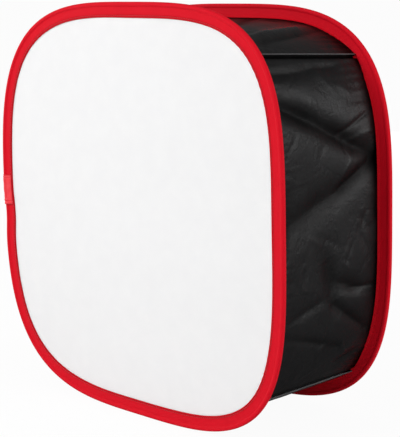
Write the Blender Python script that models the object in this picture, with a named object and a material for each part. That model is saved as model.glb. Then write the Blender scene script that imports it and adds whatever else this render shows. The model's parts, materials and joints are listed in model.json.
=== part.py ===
"""Collapsible softbox for a flat light panel, in metres, +Z up, front face towards -Y.

Two spring-steel hoops, each folded into a cloth tape, are held apart by four cloth walls with a
flexible stay in each corner seam. The front hoop carries a white diffuser. The rear hoop carries
a panel with a rectangular opening for the light, and two straps that close behind the light.
"""

import math
from dataclasses import dataclass

import bmesh
import bpy
from mathutils import Vector
from mathutils.geometry import tessellate_polygon

# Overall size
FACE_WIDTH = 0.406
FRONT_HEIGHT = 0.406
REAR_HEIGHT = 0.400
HOOP_SPACING = 0.149

# Squareness of each hoop's outline: 2 is an ellipse, and a larger number is squarer
FRONT_FULLNESS_LEFT = 3.12
FRONT_FULLNESS_RIGHT = 3.68
REAR_FULLNESS = 3.45
RING_STEPS = 64

# Where the tape's ends lap on the left side, measured from the hoop's centre
SPLICE_HEIGHT = 0.004
SPLICE_LENGTH = 0.032
SPLICE_THICKNESS = 0.0005
DIP_HEIGHT = -0.022
DIP_SPREAD = 0.020
DIP_DEPTH = 0.0024

# Folded edge tape: a round bead over the hoop and two flat legs that hold the cloth
TAPE_WIDTH = 0.0150
TAPE_THICKNESS = 0.0006
BEAD_THICKNESS = 0.0048
BEAD_WIDTH = 0.0036
BEAD_ROUND = 0.0010
SHOULDER_WIDTH = 0.0012
POCKET_WIDTH = 0.0024

# Spring band inside the tape, and the clip over its butted ends
BAND_THICKNESS = 0.0008
BAND_JOINT_GAP = 0.0012
CLIP_LENGTH = 0.036
CLIP_THICKNESS = 0.0006

# Cloths
DIFFUSER_THICKNESS = 0.0004
PANEL_THICKNESS = 0.0005
LINING_THICKNESS = 0.0004
CLOTH_EDGE = 0.0035

# Walls
WALL_INSET = 0.0142
WALL_THICKNESS = 0.0004
WALL_LINING_GAP = 0.0005
WALL_DRAW_IN = 0.0050
CREASE_HEIGHT = 0.0026
CREASE_SHARPNESS = 8
SEAM_GAP = 0.0004
WALL_COLUMNS = 16
WALL_ROWS = 6

# Corner stays and their sleeves
STAY_WIDTH = 0.0060
STAY_THICKNESS = 0.0008
STAY_END_PLAY = 0.0020
SLEEVE_THICKNESS = 0.0004
SLEEVE_MARGIN = 0.0020

# Opening in the rear panel, and the tape round its edge
OPENING_WIDTH = 0.265
OPENING_HEIGHT = 0.240
OPENING_RADIUS = 0.020
OPENING_CORNER_STEPS = 5
OPENING_TAPE_WIDTH = 0.0100

# Straps behind the opening
STRAP_WIDTH = 0.038
STRAP_THICKNESS = 0.0015
STRAP_SPREAD = 0.120
STRAP_GRIP = 0.010
STRAP_CORNER = 0.006
PATCH_WIDTH = 0.036
PATCH_THICKNESS = 0.0015
PATCH_MARGIN = 0.0035
ANCHOR_STEP = 0.003
PAD_THICKNESS = 0.0012
PAD_MARGIN = 0.001

# Free space between pieces that touch
GAP = 0.0003

BEAD_HALF = BEAD_THICKNESS / 2
POCKET_HALF = BEAD_HALF - TAPE_THICKNESS
DIFFUSER_SLOT = DIFFUSER_THICKNESS + 2 * GAP
PANEL_SLOT = PANEL_THICKNESS + LINING_THICKNESS + 3 * GAP

# Layers behind the rear panel's outer face: loop pad, hook pad and strap lie on each other
LOOP_NEAR = GAP
HOOK_NEAR = LOOP_NEAR + PAD_THICKNESS + GAP
STRAP_NEAR = HOOK_NEAR + PAD_THICKNESS + GAP
STRAP_FAR = STRAP_NEAR + STRAP_THICKNESS

# The box is centred on the origin between its front bead and the backs of its straps
PANEL_OUTER = PANEL_SLOT / 2 - GAP
REAR_REACH = max(BEAD_HALF, PANEL_OUTER + STRAP_FAR)
FRONT_PLANE = -(HOOP_SPACING + REAR_REACH - BEAD_HALF) / 2
REAR_PLANE = FRONT_PLANE + HOOP_SPACING
PANEL_FACE = REAR_PLANE + PANEL_OUTER

SLEEVE_WIDTH = STAY_WIDTH + 2 * (GAP + SLEEVE_THICKNESS)
STRETCH = 1 / math.cos(math.pi / RING_STEPS)
CORNER = math.pi / 4
SMOOTH_ANGLE = math.radians(35)

# Main tension folds of each wall: (along, back) at both ends, then depth and half width. Along
# runs round the box with the wall's middle at 0, and back runs from the front tape to the rear.
FOLDS = {
    "right": (
        ((0.118, 0.014), (0.060, 0.136), 0.0030, 0.011),
        ((0.032, 0.140), (-0.050, 0.078), 0.0024, 0.013),
        ((-0.104, 0.140), (-0.070, 0.080), 0.0020, 0.012),
    ),
    "top": (
        ((-0.110, 0.020), (-0.020, 0.130), 0.0026, 0.012),
        ((0.095, 0.134), (0.030, 0.040), 0.0024, 0.013),
    ),
    "left": (
        ((-0.112, 0.016), (-0.048, 0.132), 0.0028, 0.012),
        ((0.100, 0.132), (0.040, 0.030), 0.0024, 0.012),
    ),
    "bottom": (
        ((0.108, 0.018), (0.030, 0.126), 0.0024, 0.013),
        ((-0.090, 0.130), (-0.035, 0.036), 0.0022, 0.012),
    ),
}
SIDES = {"right": 0.0, "top": math.pi / 2, "left": math.pi, "bottom": -math.pi / 2}
CORNERS = {
    "top_right": CORNER,
    "top_left": 3 * CORNER,
    "bottom_left": -3 * CORNER,
    "bottom_right": -CORNER,
}


@dataclass(frozen=True)
class Hoop:
    """One end of the box: its outline, its plane's depth, the slot between the tape's legs, and
    which way along Y the inside of the box lies."""

    height: float
    left: float
    right: float
    plane: float
    slot: float
    inward: int

    @property
    def leg(self):
        return self.slot / 2 + TAPE_THICKNESS


FRONT = Hoop(FRONT_HEIGHT, FRONT_FULLNESS_LEFT, FRONT_FULLNESS_RIGHT, FRONT_PLANE, DIFFUSER_SLOT, 1)
REAR = Hoop(REAR_HEIGHT, REAR_FULLNESS, REAR_FULLNESS, REAR_PLANE, PANEL_SLOT, -1)


def remove_everything():
    for item in list(bpy.data.objects):
        bpy.data.objects.remove(item, do_unlink=True)


def make_material(name, colour, roughness, metallic=0.0):
    material = bpy.data.materials.new(name)
    material.use_nodes = True
    shader = material.node_tree.nodes["Principled BSDF"]
    shader.inputs["Base Color"].default_value = (*colour, 1.0)
    shader.inputs["Roughness"].default_value = roughness
    shader.inputs["Metallic"].default_value = metallic
    return material


def make_object(name, points, faces, material, parent=None):
    """A closed mesh from world points; under a parent, its origin is the parent's place."""
    origin = parent.location if parent else Vector()
    mesh = bpy.data.meshes.new(name)
    mesh.from_pydata([Vector(point) - origin for point in points], [], faces)
    mesh.materials.append(material)
    turned = bmesh.new()
    turned.from_mesh(mesh)
    bmesh.ops.recalc_face_normals(turned, faces=turned.faces)
    turned.to_mesh(mesh)
    turned.free()
    mesh.shade_smooth()
    mesh.set_sharp_from_angle(angle=SMOOTH_ANGLE)
    item = bpy.data.objects.new(name, mesh)
    item.parent = parent
    bpy.context.collection.objects.link(item)
    return item


def make_pivot(name, place):
    pivot = bpy.data.objects.new(name, None)
    pivot.location = place
    bpy.context.collection.objects.link(pivot)
    return pivot


def outline(hoop, angle, inset=0.0):
    """Point (x, z) on a hoop's superellipse, moved inwards along the curve's own normal."""
    c, s = math.cos(angle), math.sin(angle)
    fullness = hoop.left if c < 0 else hoop.right
    half_width = FACE_WIDTH / 2 * STRETCH ** (2 / fullness)
    half_height = hoop.height / 2 * STRETCH ** (2 / fullness)
    x = math.copysign(abs(c) ** (2 / fullness), c)
    z = math.copysign(abs(s) ** (2 / fullness), s)
    normal_x = math.copysign(abs(x) ** (fullness - 1) / half_width, c)
    normal_z = math.copysign(abs(z) ** (fullness - 1) / half_height, s)
    length = math.hypot(normal_x, normal_z)
    rise = z * half_height
    dip = DIP_DEPTH * math.exp(-(((rise - DIP_HEIGHT) / DIP_SPREAD) ** 2)) if c < 0 else 0.0
    return (
        x * half_width - inset * normal_x / length + dip,
        hoop.height / 2 + rise - inset * normal_z / length,
    )


def left_angle(hoop, rise):
    """The outline's angle where its left side is this far above the hoop's centre."""
    half_height = hoop.height / 2 * STRETCH ** (2 / hoop.left)
    share = (abs(rise) / half_height) ** (hoop.left / 2)
    return math.pi - math.copysign(math.asin(share), rise)


def ring_angles(hoop):
    """Angles round a hoop: even steps with a flat across each axis, and more in the dip."""
    steps = [(k + 0.5) * math.tau / RING_STEPS for k in range(RING_STEPS)]
    dip = [left_angle(hoop, DIP_HEIGHT + DIP_SPREAD * k) for k in (-1.2, -0.6, 0.0, 0.6, 1.2)]
    return sorted(steps + dip)


def splice_angles(hoop, length, count=6):
    """Angles of a short piece centred on the splice, from its upper end down."""
    return [left_angle(hoop, SPLICE_HEIGHT + length * (0.5 - k / count)) for k in range(count + 1)]


def loop_faces(stations, count, closed):
    """Faces of a tube: stations of count points each, joined in a ring or closed by end caps."""
    faces = []
    for i in range(stations if closed else stations - 1):
        here, there = i * count, (i + 1) % stations * count
        for k in range(count):
            after = (k + 1) % count
            faces.append((here + k, here + after, there + after, there + k))
    if not closed:
        faces.append(tuple(range(count)))
        faces.append(tuple(range((stations - 1) * count, stations * count)))
    return faces


def sweep(name, hoop, section, angles, material, parent=None, closed=False):
    """A section of (inset, depth) points carried round a hoop's outline."""
    points = []
    for angle in angles:
        for inset, depth in section:
            x, z = outline(hoop, angle, inset)
            points.append((x, hoop.plane + depth, z))
    faces = loop_faces(len(angles), len(section), closed)
    return make_object(name, points, faces, material, parent)


def mirrored(half):
    """A section from its points on one side of the hoop's plane, carried on to the other side."""
    return half + [(inset, -depth) for inset, depth in half[::-1]]


def tape_skin(hoop, grow=0.0):
    """The tape's outer face, from one leg's edge round the bead to the other leg's edge."""
    leg, bead = hoop.leg + grow, BEAD_HALF + grow
    return mirrored([
        (TAPE_WIDTH, leg),
        (BEAD_WIDTH + SHOULDER_WIDTH, leg),
        (BEAD_WIDTH, bead),
        (BEAD_ROUND, bead),
        (-grow, BEAD_HALF / 2),
    ])


def tape_pocket(hoop):
    """The tape's inner face: the slot for the cloth and the pocket for the spring band."""
    slot = hoop.slot / 2
    far = TAPE_THICKNESS + POCKET_WIDTH
    return mirrored([(TAPE_WIDTH, slot), (far, slot), (far, POCKET_HALF), (TAPE_THICKNESS, POCKET_HALF)])


def band_section(near, thickness):
    """A flat strip inside the pocket."""
    half = POCKET_HALF - GAP
    return [(near, -half), (near + thickness, -half), (near + thickness, half), (near, half)]


def make_hoop(name, hoop, steel, parent=None):
    """The spring band, open at the splice, and the flat clip behind its butted ends."""
    near = TAPE_THICKNESS + GAP
    upper = left_angle(hoop, SPLICE_HEIGHT + BAND_JOINT_GAP / 2)
    lower = left_angle(hoop, SPLICE_HEIGHT - BAND_JOINT_GAP / 2)
    after = [angle for angle in ring_angles(hoop) if angle > lower]
    before = [angle + math.tau for angle in ring_angles(hoop) if angle < upper]
    angles = [lower] + after + before + [upper + math.tau]
    sweep(f"{name}_hoop", hoop, band_section(near, BAND_THICKNESS), angles, steel, parent)
    clip = band_section(near + BAND_THICKNESS + GAP, CLIP_THICKNESS)
    sweep(f"{name}_hoop_clip", hoop, clip, splice_angles(hoop, CLIP_LENGTH), steel, parent)


def lap_skin(hoop, grow):
    """The lapped end's face: its inner leg stops short of the walls, where the outline dips too."""
    inner_edge = WALL_INSET - DIP_DEPTH - GAP
    return [
        (min(inset, inner_edge) if depth * hoop.inward > 0 else inset, depth)
        for inset, depth in tape_skin(hoop, grow)
    ]


def make_tape(name, hoop, tape, satin, parent=None):
    """The folded edge tape, and the lapped end that closes it."""
    section = tape_skin(hoop) + tape_pocket(hoop)[::-1]
    sweep(f"{name}_binding", hoop, section, ring_angles(hoop), tape, parent, closed=True)
    lap = lap_skin(hoop, GAP + SPLICE_THICKNESS) + lap_skin(hoop, GAP)[::-1]
    sweep(f"{name}_splice_tab", hoop, lap, splice_angles(hoop, SPLICE_LENGTH), satin, parent)


def plate(name, rings, near, far, material, parent=None):
    """A flat plate across Y between two depths: an outer ring of (x, z) points, then its holes."""
    flat = [point for ring in rings for point in ring]
    count = len(flat)
    points = [(x, near, z) for x, z in flat] + [(x, far, z) for x, z in flat]
    faces = []
    for a, b, c in tessellate_polygon([[Vector((x, z, 0)) for x, z in ring] for ring in rings]):
        faces.append((a, b, c))
        faces.append((c + count, b + count, a + count))
    start = 0
    for ring in rings:
        for k in range(len(ring)):
            here, there = start + k, start + (k + 1) % len(ring)
            faces.append((here, there, there + count, here + count))
        start += len(ring)
    return make_object(name, points, faces, material, parent)


def opening_ring(grow):
    """The opening's outline as (x, z) points, grown outwards: a rectangle with round corners."""
    radius = OPENING_RADIUS + grow
    points = []
    for k, (sx, sz) in enumerate(((1, 1), (-1, 1), (-1, -1), (1, -1))):
        middle_x = sx * (OPENING_WIDTH / 2 - OPENING_RADIUS)
        middle_z = REAR_HEIGHT / 2 + sz * (OPENING_HEIGHT / 2 - OPENING_RADIUS)
        for step in range(OPENING_CORNER_STEPS + 1):
            angle = math.pi / 2 * (k + step / OPENING_CORNER_STEPS)
            points.append((middle_x + radius * math.cos(angle), middle_z + radius * math.sin(angle)))
    return points


def make_opening_binding(tape):
    """The tape folded round the opening's edge, a U that is open away from the opening."""
    slot = REAR.slot / 2
    outer = mirrored([(OPENING_TAPE_WIDTH, -REAR.leg), (0.0, -REAR.leg)])
    inner = mirrored([(OPENING_TAPE_WIDTH, slot), (TAPE_THICKNESS, slot)])
    rings = [[(x, REAR.plane + depth, z) for x, z in opening_ring(grow)] for grow, depth in outer + inner]
    points = [point for ring in rings for point in ring]
    make_object("opening_binding", points, loop_faces(len(rings), len(rings[0]), True), tape)


def make_cloth_faces(white, black, silver, front_frame):
    """The diffuser in the front tape, and the rear panel with its lining in the rear tape."""
    face = [outline(FRONT, angle, CLOTH_EDGE) for angle in ring_angles(FRONT)]
    half = DIFFUSER_THICKNESS / 2
    plate("diffuser", [face], FRONT.plane - half, FRONT.plane + half, white, front_frame)
    back = [outline(REAR, angle, CLOTH_EDGE) for angle in ring_angles(REAR)]
    hole = opening_ring(TAPE_THICKNESS + GAP)
    plate("rear_panel", [back, hole], PANEL_FACE - PANEL_THICKNESS, PANEL_FACE, black)
    near = REAR.plane - REAR.slot / 2 + GAP
    plate("rear_lining", [back, hole], near, near + LINING_THICKNESS, silver)


def corner_axes(corner):
    """Outward direction at a corner, and the direction round the box there."""
    across = Vector((math.copysign(1, math.cos(corner)), math.copysign(1, math.sin(corner)))).normalized()
    return across, Vector((-across.y, across.x))


def wall_depth(back):
    """Depth of a point this share of the way from the front tape to the rear tape."""
    near = FRONT.plane + FRONT.leg + GAP
    far = REAR.plane - REAR.leg - GAP
    return near + (far - near) * back


def between_hoops(angle, back, inset):
    """Point (x, z) on the straight line from the front hoop's outline to the rear hoop's."""
    return Vector(outline(FRONT, angle, inset)).lerp(Vector(outline(REAR, angle, inset)), back)


def fold_share(spot, start, end, width):
    """How far a fold reaches at a spot: 1 on its line, fading to 0 over its width."""
    line = end - start
    part = min(1.0, max(0.0, (spot - start).dot(line) / line.length_squared))
    return math.exp(-(((spot - start - line * part).length / width) ** 2))


def wall_point(side, share, back, inset):
    """Point of a wall. Share runs from -1 to 1 between its seams, and back from 0 at the front
    tape to 1 at the rear. The cloth rises to a crest at each seam, is drawn in between the hoops
    and sinks along its tension folds."""
    middle = SIDES[side]
    place = between_hoops(middle + share * CORNER, back, inset)
    across, along = corner_axes(middle + math.copysign(CORNER, share))
    crest = abs(share) ** CREASE_SHARPNESS
    place += crest * (across * CREASE_HEIGHT - along * math.copysign(SEAM_GAP / 2, share))
    outward = Vector((math.cos(middle), math.sin(middle)))
    run = Vector((-outward.y, outward.x))
    centre = Vector((0.0, FRONT_HEIGHT / 2))
    spot = Vector(((place - centre).dot(run), wall_depth(back) - FRONT.plane))
    slack = math.cos(math.pi / 2 * share) ** 2 * 4 * back * (1 - back)
    sink = WALL_DRAW_IN * slack
    for start, end, depth, width in FOLDS[side]:
        sink += depth * fold_share(spot, Vector(start), Vector(end), width) * min(1.0, 3 * slack)
    place -= outward * sink
    return place.x, wall_depth(back), place.y


def cloth_shell(name, side, inset, thickness, reach, material):
    """A wall's sheet between two insets; reach is how far it runs towards its seams."""
    shares = [-1 + 2 * k / WALL_COLUMNS for k in range(WALL_COLUMNS + 1)]
    shares = [max(-reach, min(reach, share)) for share in shares]
    across, rows = WALL_COLUMNS + 1, WALL_ROWS + 1
    size = across * rows
    points = [
        wall_point(side, share, row / WALL_ROWS, layer)
        for layer in (inset, inset + thickness)
        for row in range(rows)
        for share in shares
    ]
    faces = []
    for row in range(WALL_ROWS):
        for column in range(WALL_COLUMNS):
            here = row * across + column
            opposite = here + 1 + across
            for face in ((here, here + 1, opposite), (here, opposite, here + across)):
                faces.append(face)
                faces.append(tuple(k + size for k in reversed(face)))
    last = size - across
    rim = list(range(across)) + [row * across - 1 for row in range(2, rows)]
    rim += [last + k for k in range(across - 1, -1, -1)] + [row * across for row in range(rows - 2, 0, -1)]
    for here, there in zip(rim, rim[1:] + rim[:1]):
        faces.append((there, here, here + size, there + size))
    make_object(name, points, faces, material)


def make_walls(black, silver):
    """The black walls and their silver linings, which stop short of the corner sleeves."""
    column = 2 / WALL_COLUMNS
    first = Vector(outline(REAR, CORNER, WALL_INSET))
    second = Vector(outline(REAR, CORNER * (1 - column), WALL_INSET))
    margin = SLEEVE_WIDTH / 2 + SLEEVE_MARGIN
    reach = 1 - column * margin / (first - second).length
    lining_inset = WALL_INSET + WALL_THICKNESS + WALL_LINING_GAP
    for side in SIDES:
        cloth_shell(f"{side}_wall", side, WALL_INSET, WALL_THICKNESS, 1.0, black)
        cloth_shell(f"{side}_lining", side, lining_inset, LINING_THICKNESS, reach, silver)


def seam_base(corner, back):
    """Where the walls' inner faces meet at a seam."""
    place = between_hoops(corner, back, WALL_INSET + WALL_THICKNESS)
    return place + corner_axes(corner)[0] * CREASE_HEIGHT


def sleeve_seat():
    """How far a sleeve lies inside its seam, so that its sides clear the walls' slopes."""
    x, _, z = wall_point("right", 1 - 2 / WALL_COLUMNS, 1.0, WALL_INSET + WALL_THICKNESS)
    step = Vector((x, z)) - seam_base(CORNER, 1.0)
    across, along = corner_axes(CORNER)
    slope = abs(step.dot(across) / step.dot(along))
    return GAP + slope * SLEEVE_WIDTH / 2


def seam_bar(name, corner, loops, ends, material):
    """A straight bar along a seam. Its loops are (nearest, farthest, half width) inside the seam:
    one for a solid bar, or an outer and an inner one for an open tunnel."""
    across, along = corner_axes(corner)
    section = []
    for near, far, half in loops:
        section += [(near, -half), (far, -half), (far, half), (near, half)]
    count = len(section)
    points = []
    for back in ends:
        for inset, offset in section:
            place = seam_base(corner, back) - across * inset + along * offset
            points.append((place.x, wall_depth(back), place.y))
    faces = []
    for k in range(count):
        after = k - 3 if k % 4 == 3 else k + 1
        faces.append((k, after, after + count, k + count))
    for end in (0, count):
        if count == 4:
            faces.append(tuple(range(end, end + 4)))
            continue
        for k in range(4):
            after = (k + 1) % 4
            faces.append((end + k, end + after, end + 4 + after, end + 4 + k))
    make_object(name, points, faces, material)


def make_corner_stays(black, steel):
    """A flexible spring strip in a cloth sleeve, inside each corner seam."""
    seat = sleeve_seat()
    tunnel = seat + SLEEVE_THICKNESS
    near = tunnel + GAP
    far = near + STAY_THICKNESS
    play = STAY_END_PLAY / (wall_depth(1.0) - wall_depth(0.0))
    sleeve = [
        (seat, far + GAP + SLEEVE_THICKNESS, SLEEVE_WIDTH / 2),
        (tunnel, far + GAP, STAY_WIDTH / 2 + GAP),
    ]
    for name, corner in CORNERS.items():
        seam_bar(f"{name}_sleeve", corner, sleeve, (0.0, 1.0), black)
        seam_bar(f"{name}_stay", corner, [(near, far, STAY_WIDTH / 2)], (play, 1 - play), steel)


def upright(name, profile, low, high, material, parent=None):
    """A profile of (x, height over the panel's face) points, extruded upwards between two heights."""
    points = [(x, PANEL_FACE + height, z) for z in (low, high) for x, height in profile]
    return make_object(name, points, loop_faces(2, len(profile), False), material, parent)


def make_strap(name, middle, webbing, loops, hooks):
    """One strap: its sewn anchor and loop pad on the panel, and the free strap with its hook pad."""
    low, high = middle - STRAP_WIDTH / 2, middle + STRAP_WIDTH / 2
    pad_near = OPENING_WIDTH / 2 + OPENING_TAPE_WIDTH + PATCH_MARGIN
    pad_far = pad_near + PATCH_WIDTH
    root = -pad_near - ANCHOR_STEP
    sewn = -pad_far + ANCHOR_STEP
    patch_top = GAP + PATCH_THICKNESS
    anchor = [
        (-pad_far, GAP),
        (-pad_near, GAP),
        (-pad_near, patch_top),
        (root, patch_top),
        (root, STRAP_FAR),
        (sewn, STRAP_FAR),
        (sewn, patch_top),
        (-pad_far, patch_top),
    ]
    upright(f"{name}_strap_anchor", anchor, low, high, webbing)
    loop_far = LOOP_NEAR + PAD_THICKNESS
    loop_pad = [(pad_near, LOOP_NEAR), (pad_far, LOOP_NEAR), (pad_far, loop_far), (pad_near, loop_far)]
    upright(f"{name}_loop_pad", loop_pad, low, high, loops)

    pivot = make_pivot(f"{name}_strap_pivot", (root, PANEL_FACE + STRAP_FAR, middle))
    tip = pad_far + STRAP_GRIP
    strap = [
        (root + GAP, low),
        (tip - STRAP_CORNER, low),
        (tip, low + STRAP_CORNER),
        (tip, high - STRAP_CORNER),
        (tip - STRAP_CORNER, high),
        (root + GAP, high),
    ]
    plate(f"{name}_strap", [strap], PANEL_FACE + STRAP_NEAR, PANEL_FACE + STRAP_FAR, webbing, pivot)
    hook_far = HOOK_NEAR + PAD_THICKNESS
    hook_pad = [(pad_near, HOOK_NEAR), (pad_far, HOOK_NEAR), (pad_far, hook_far), (pad_near, hook_far)]
    upright(f"{name}_hook_pad", hook_pad, low + PAD_MARGIN, high - PAD_MARGIN, hooks, pivot)


def build():
    remove_everything()
    tape = make_material("red_tape", (0.72, 0.010, 0.022), 0.55)
    satin = make_material("red_satin", (0.78, 0.016, 0.030), 0.35)
    black = make_material("black_nylon", (0.020, 0.020, 0.022), 0.38)
    silver = make_material("silver_cloth", (0.62, 0.62, 0.64), 0.42, 0.6)
    white = make_material("white_cloth", (0.88, 0.88, 0.88), 0.75)
    steel = make_material("spring_steel", (0.42, 0.42, 0.44), 0.30, 1.0)
    edging = make_material("black_tape", (0.015, 0.015, 0.016), 0.75)
    webbing = make_material("black_webbing", (0.018, 0.018, 0.019), 0.70)
    loops = make_material("loop_pile", (0.022, 0.022, 0.024), 0.95)
    hooks = make_material("hook_tape", (0.014, 0.014, 0.015), 0.60)

    front_frame = make_pivot("front_frame_slide", (0.0, FRONT.plane, FRONT_HEIGHT / 2))
    make_hoop("front", FRONT, steel, front_frame)
    make_tape("front", FRONT, tape, satin, front_frame)
    make_hoop("rear", REAR, steel)
    make_tape("rear", REAR, tape, satin)
    make_cloth_faces(white, black, silver, front_frame)
    make_opening_binding(edging)
    make_walls(black, silver)
    make_corner_stays(black, steel)
    make_strap("upper", (REAR_HEIGHT + STRAP_SPREAD) / 2, webbing, loops, hooks)
    make_strap("lower", (REAR_HEIGHT - STRAP_SPREAD) / 2, webbing, loops, hooks)


build()
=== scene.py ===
import json
import math

import bpy
import numpy as np
from mathutils import Matrix, Vector


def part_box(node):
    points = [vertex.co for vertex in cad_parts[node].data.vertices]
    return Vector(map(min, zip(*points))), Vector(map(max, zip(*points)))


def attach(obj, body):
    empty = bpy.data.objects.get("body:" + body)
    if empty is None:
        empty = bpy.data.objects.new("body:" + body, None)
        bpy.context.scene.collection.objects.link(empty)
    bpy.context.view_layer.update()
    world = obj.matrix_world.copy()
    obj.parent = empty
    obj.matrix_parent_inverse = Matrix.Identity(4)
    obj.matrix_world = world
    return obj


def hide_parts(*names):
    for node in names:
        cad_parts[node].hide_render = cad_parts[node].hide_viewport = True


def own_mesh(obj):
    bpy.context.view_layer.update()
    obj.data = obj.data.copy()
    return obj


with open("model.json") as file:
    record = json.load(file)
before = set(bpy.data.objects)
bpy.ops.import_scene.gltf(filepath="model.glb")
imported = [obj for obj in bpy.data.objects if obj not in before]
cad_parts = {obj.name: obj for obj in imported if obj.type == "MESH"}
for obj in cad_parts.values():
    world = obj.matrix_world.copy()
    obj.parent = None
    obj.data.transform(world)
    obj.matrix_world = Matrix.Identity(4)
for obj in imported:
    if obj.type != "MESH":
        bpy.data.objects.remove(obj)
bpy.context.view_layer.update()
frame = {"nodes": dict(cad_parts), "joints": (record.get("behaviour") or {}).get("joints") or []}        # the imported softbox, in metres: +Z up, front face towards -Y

# Camera
# The photograph looks at the front right of the softbox from a little above its middle. The place,
# the angles and the lens come from a fit of both hoops' outlines, in metres and radians.
CAMERA_PLACE = (1.0176, -0.9660, 0.4312)
CAMERA_TURN = 0.8023
CAMERA_DOWN = 0.1725
CAMERA_ROLL = -0.0199
CAMERA_LENS = 115.96
CAMERA_REACH = 300.0

camera_data = bpy.data.cameras.new("camera")
camera_data.lens = CAMERA_LENS
camera_data.clip_end = CAMERA_REACH
camera = bpy.data.objects.new("camera", camera_data)
camera.matrix_world = (
    Matrix.Translation(CAMERA_PLACE)
    @ Matrix.Rotation(CAMERA_TURN, 4, "Z")
    @ Matrix.Rotation(math.pi / 2 - CAMERA_DOWN, 4, "X")
    @ Matrix.Rotation(CAMERA_ROLL, 4, "Z")
)
bpy.context.collection.objects.link(camera)
bpy.context.scene.camera = camera
bpy.context.scene.view_settings.view_transform = "Standard"

# Floor and light
# A wide pale studio floor and a white surround. Soft lamps stand in front, at both sides and
# behind. Surround and floor show white to the eye, light the cloth less, and stay dim in gloss.
FLOOR_REACH = 120.0
FLOOR_TONE = 0.82
FLOOR_GLOSS_TONE = 0.16
FLOOR_GLOW_SHARE = 0.95
SURROUND_LIGHT = 0.50
SURROUND_GLOSS = 0.14
WHITE = (1.0, 1.0, 1.0, 1.0)
LAMP_AIM = (0.0, 0.0, 0.2)


class Wire:
    """A socket in a node tree. Arithmetic on wires adds Math nodes, and node adds any other node."""

    def __init__(self, tree, socket=None):
        self.tree, self.socket = tree, socket

    def node(self, kind, settings=None, inputs=None, output=0):
        """Adds a node, its settings first, then its inputs' values or wires, and gives one output."""
        made = self.tree.nodes.new(kind)
        for name, value in (settings or {}).items():
            setattr(made, name, value)
        for name, value in (inputs or {}).items():
            if isinstance(value, Wire):
                self.tree.links.new(value.socket, made.inputs[name])
            else:
                made.inputs[name].default_value = value
        return Wire(self.tree, made.outputs[output])

    def maths(self, operation, first, second=0.0):
        return self.node("ShaderNodeMath", {"operation": operation}, {0: first, 1: second})

    def __add__(self, other):
        return self.maths("ADD", self, other)

    def __sub__(self, other):
        return self.maths("SUBTRACT", self, other)

    def __rsub__(self, other):
        return self.maths("SUBTRACT", other, self)

    def __mul__(self, other):
        return self.maths("MULTIPLY", self, other)

    __radd__ = __add__
    __rmul__ = __mul__

    def sine(self):
        return self.maths("SINE", self)

    def size(self):
        return self.maths("ABSOLUTE", self)

    def most(self, other):
        return self.maths("MAXIMUM", self, other)

    def least(self, other):
        return self.maths("MINIMUM", self, other)

    def rise(self, low, high):
        """A smooth step from 0 at low to 1 at high."""
        settings = {"interpolation_type": "SMOOTHSTEP"}
        return self.node("ShaderNodeMapRange", settings, {"Value": self, "From Min": low, "From Max": high})


def seen_share(start):
    """1 for rays that come straight from the eye or through glass, and 0 for the rest."""
    camera_ray = start.node("ShaderNodeLightPath", output="Is Camera Ray")
    glass_ray = start.node("ShaderNodeLightPath", output="Is Transmission Ray")
    return camera_ray.most(glass_ray)


world = bpy.data.worlds.new("surround")
world.use_nodes = True
world.cycles.sampling_method = "NONE"
world_start = Wire(world.node_tree)
background = world.node_tree.nodes["Background"]
background.inputs["Color"].default_value = WHITE
glossy_ray = world_start.node("ShaderNodeLightPath", output="Is Glossy Ray")
unseen = glossy_ray * (SURROUND_GLOSS - SURROUND_LIGHT) + SURROUND_LIGHT
strength = seen_share(world_start) * (1.0 - SURROUND_LIGHT) + unseen
world.node_tree.links.new(strength.socket, background.inputs["Strength"])
bpy.context.scene.world = world

floor_mesh = bpy.data.meshes.new("floor")
floor_corners = [(x * FLOOR_REACH, y * FLOOR_REACH, 0.0) for x, y in ((-1, -1), (1, -1), (1, 1), (-1, 1))]
floor_mesh.from_pydata(floor_corners, [], [(0, 1, 2, 3)])
floor_paint = bpy.data.materials.new("floor_paint")
floor_paint.use_nodes = True
floor_start = Wire(floor_paint.node_tree)
floor_glossy_ray = floor_start.node("ShaderNodeLightPath", output="Is Glossy Ray")
floor_tone = floor_glossy_ray * (FLOOR_GLOSS_TONE - FLOOR_TONE) + FLOOR_TONE
floor_matt = floor_start.node("ShaderNodeBsdfDiffuse", inputs={"Color": floor_tone})
floor_glow = floor_start.node("ShaderNodeEmission", inputs={"Color": WHITE, "Strength": 1.0})
floor_mix = floor_start.node(
    "ShaderNodeMixShader",
    inputs={0: seen_share(floor_start) * FLOOR_GLOW_SHARE, 1: floor_matt, 2: floor_glow},
)
floor_output = floor_paint.node_tree.nodes["Material Output"]
floor_paint.node_tree.links.new(floor_mix.socket, floor_output.inputs["Surface"])
floor_mesh.materials.append(floor_paint)
floor = bpy.data.objects.new("floor", floor_mesh)
bpy.context.collection.objects.link(floor)


def soft_lamp(name, place, width, height, power):
    """A rectangular soft lamp that faces the middle of the softbox; its power is in watts."""
    data = bpy.data.lights.new(name, "AREA")
    data.shape = "RECTANGLE"
    data.size, data.size_y = width, height
    data.energy = power
    lamp = bpy.data.objects.new(name, data)
    aim = Vector(LAMP_AIM) - Vector(place)
    lamp.matrix_world = Matrix.Translation(place) @ aim.to_track_quat("-Z", "Y").to_matrix().to_4x4()
    bpy.context.collection.objects.link(lamp)


soft_lamp("front_left_lamp", (-0.5, -2.1, 1.6), 1.2, 1.2, 38.0)
soft_lamp("right_lamp", (2.15, 0.95, 0.60), 2.0, 0.7, 22.0)
soft_lamp("left_lamp", (-2.2, -0.3, 0.20), 1.8, 0.36, 9.0)
soft_lamp("back_lamp", (-1.5, 1.9, 0.20), 1.6, 0.36, 16.0)

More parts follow.
